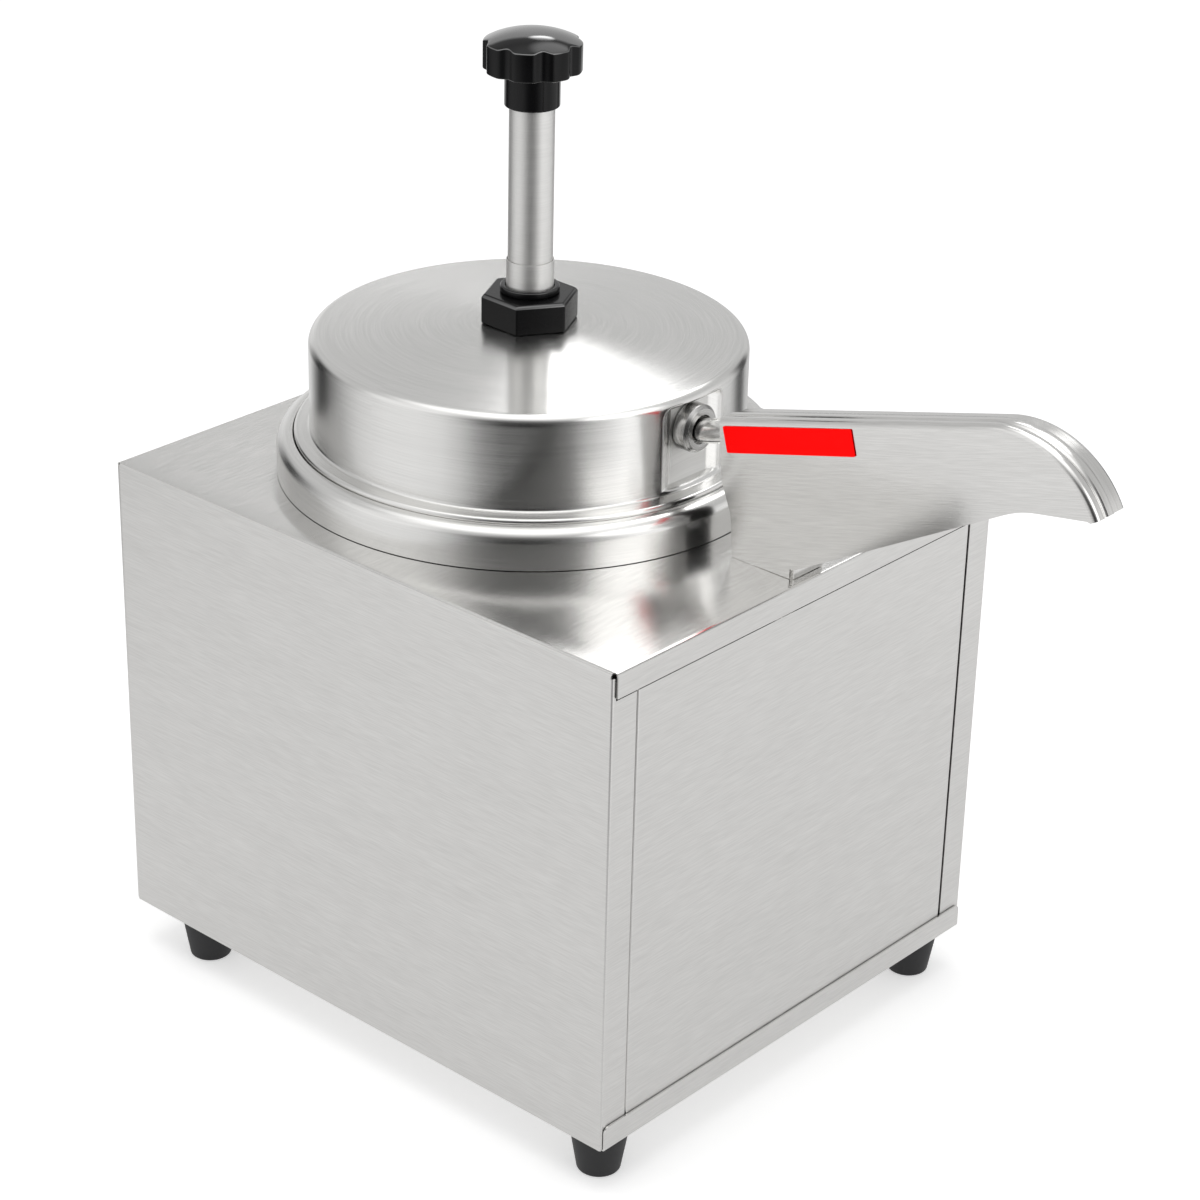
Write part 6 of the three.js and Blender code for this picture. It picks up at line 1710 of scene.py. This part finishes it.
mark_white = moulded("mark_white", "white_plastic", (0.78, 0.78, 0.76), 0.5, 0.8, 0.05, lift=1.02)
mark_level, mark_size = cabinet_depth + 3.4, (0.0006, 0.0022, 0.0003)
mark_centre = (dial_place[0] / 1000, front + mark_level / 1000, underside + dial_place[1] / 1000)
mark_ring = grown(
    "dial_marks_printed", marks_tree(), marks=11, radius=0.0170, start=math.radians(-45),
    sweep=math.radians(270), size=mark_size, centre=mark_centre, turn=upright, material=mark_white,
)
pointer_half, pointer_start, pointer_end = 0.6, 4.0, 10.6
pointer_outline = [(-pointer_half, pointer_start), (pointer_half, pointer_start), (pointer_half, pointer_end),
                   (-pointer_half, pointer_end)]
pointer = Form(dial_centre)
pointer.prism(
    rounded_outline(pointer_outline, 0.3, 3),
    lambda p: (p[0], dial_face - 0.1, p[1]),
    lambda p: (p[0], dial_face + 0.25, p[1]),
)
finished(mark_ring, "dial", mark_white)
finished(loose(pointer, "dial_pointer_printed"), "dial", mark_white)

# Power switch and terminal block
# A black moulded housing clipped into the rear panel, with a red rocker in its window, and the white
# moulded block inside that joins the leads.
copied("switch_housing", "switch_housing_moulded", "cabinet", dial_black, 0.5)
rocker_red = moulded("rocker_red", "red_plastic", (0.62, 0.012, 0.010), 0.22, 0.8, 0.06, lift=1.15)
copied("switch_rocker", "switch_rocker_moulded", "rocker", rocker_red, 0.5)
copied("terminal_block", "terminal_block_moulded", "cabinet", off_white, 0.6)

# Indicator lamp and cord gland
# A domed amber lens with its own bezel, pushed into the panel, and the black moulded gland, screwed
# through it, for the mains.
amber, amber_tree, amber_shader = new_material("amber_lens", "lamp")
amber_coords = laid(amber_tree, "ShaderNodeTexCoord").outputs["Object"]
lens_rings = laid(amber_tree, "ShaderNodeTexNoise", {"Vector": amber_coords, "Scale": 900.0, "Detail": 1.0})
lens_colour = mixed_colour(amber_tree, lens_rings.outputs["Fac"], (0.78, 0.20, 0.02), (0.95, 0.42, 0.06))
amber_tree.links.new(lens_colour, amber_shader.inputs["Base Color"])
amber_shader.inputs["Roughness"].default_value = 0.15
amber_bump = laid(
    amber_tree, "ShaderNodeBump", {"Strength": 0.1, "Distance": 0.0002, "Height": lens_rings.outputs["Fac"]}
)
amber_tree.links.new(amber_bump.outputs[0], amber_shader.inputs["Normal"])
lens = Form((lamp_place[0], 0, lamp_place[1]))
lens_back, lens_body, bezel_radius, bezel_back, bezel_face, lens_top = 285.2, 5.7, 8, 300.3, 302, 305
lens_outline = rounded_outline(
    [(0, lens_back, 0), (lens_body, lens_back, 0.5), (lens_body, bezel_back, 0.1),
     (bezel_radius, bezel_back, 0.3), (bezel_radius, bezel_face, 0.7), (6.6, bezel_face, 0.3),
     (6.2, 301.4, 0.2), (5.6, 302.6, 1.2), (4.2, 304.1, 1.5), (0, lens_top, 0)], 0.3, 4, closed=False,
)
lathe(lens, lens_outline, 48, "Y")
finished(loose(lens, "indicator_lamp_lens"), "cabinet", amber, "indicator_lamp")
gland_black = moulded("gland_black", "nut_plastic", (0.014, 0.014, 0.015), 0.42, 0.6, 0.15)
gland = Form((gland_place[0], 0, gland_place[1]))
gland_bore, gland_body, gland_nut, gland_back, gland_mouth, gland_sides = 4, 7.7, 11, 288, 314, 72
# Radius, place along the gland and how much of a hexagon it is there
gland_stations = [
    (gland_bore, gland_back, 0), (gland_body - 0.3, gland_back, 0), (gland_body, gland_back + 0.3, 0),
    (gland_body, bezel_back, 0), (10.6, bezel_back, 1), (gland_nut, 300.8, 1), (gland_nut, 306.4, 1),
    (10.4, 307.2, 0.7), (8.8, 308.2, 0), (8.4, 311.5, 0), (7.7, 313.4, 0), (6.9, gland_mouth, 0),
    (gland_bore + 0.4, gland_mouth, 0), (gland_bore, gland_mouth - 0.4, 0),
]
gland_rows = []
for radius, y, flat in gland_stations:
    row = []
    for k in range(gland_sides):
        a = 2 * math.pi * k / gland_sides
        sector = (a % (math.pi / 3)) - math.pi / 6
        hexed = min(radius, radius * math.cos(math.pi / 6) * 1.06 / math.cos(sector))
        r = radius + (hexed - radius) * flat
        row.append((r * math.cos(a), y, r * math.sin(a)))
    gland_rows.append(row)
gland.grid(gland_rows, around=True, along=True)
finished(loose(gland, "cord_gland_moulded"), "cabinet", gland_black, "cord_gland", crease=30)

# Inner wires
# Leads of copper strand in brown and blue insulation, between the gland, the switch, the thermostat,
# the heater plate and the block.
brown_lead = moulded("brown_lead", "brown_wire", (0.17, 0.07, 0.03), 0.45, 0.6, 0.08)
blue_lead = moulded("blue_lead", "blue_wire", (0.03, 0.11, 0.42), 0.45, 0.6, 0.08)
leads = [("wire_line", brown_lead), ("wire_neutral", blue_lead), ("wire_switched", brown_lead),
         ("wire_heater", brown_lead), ("wire_return", blue_lead)]
for node_name, material in leads:
    lead = joined_copy(node_name, node_name + "_lead")
    rounder = lead.modifiers.new("rounder", "SUBSURF")
    rounder.levels = rounder.render_levels = 1
    finished(baked(lead), "cabinet", material, node_name, crease=60)
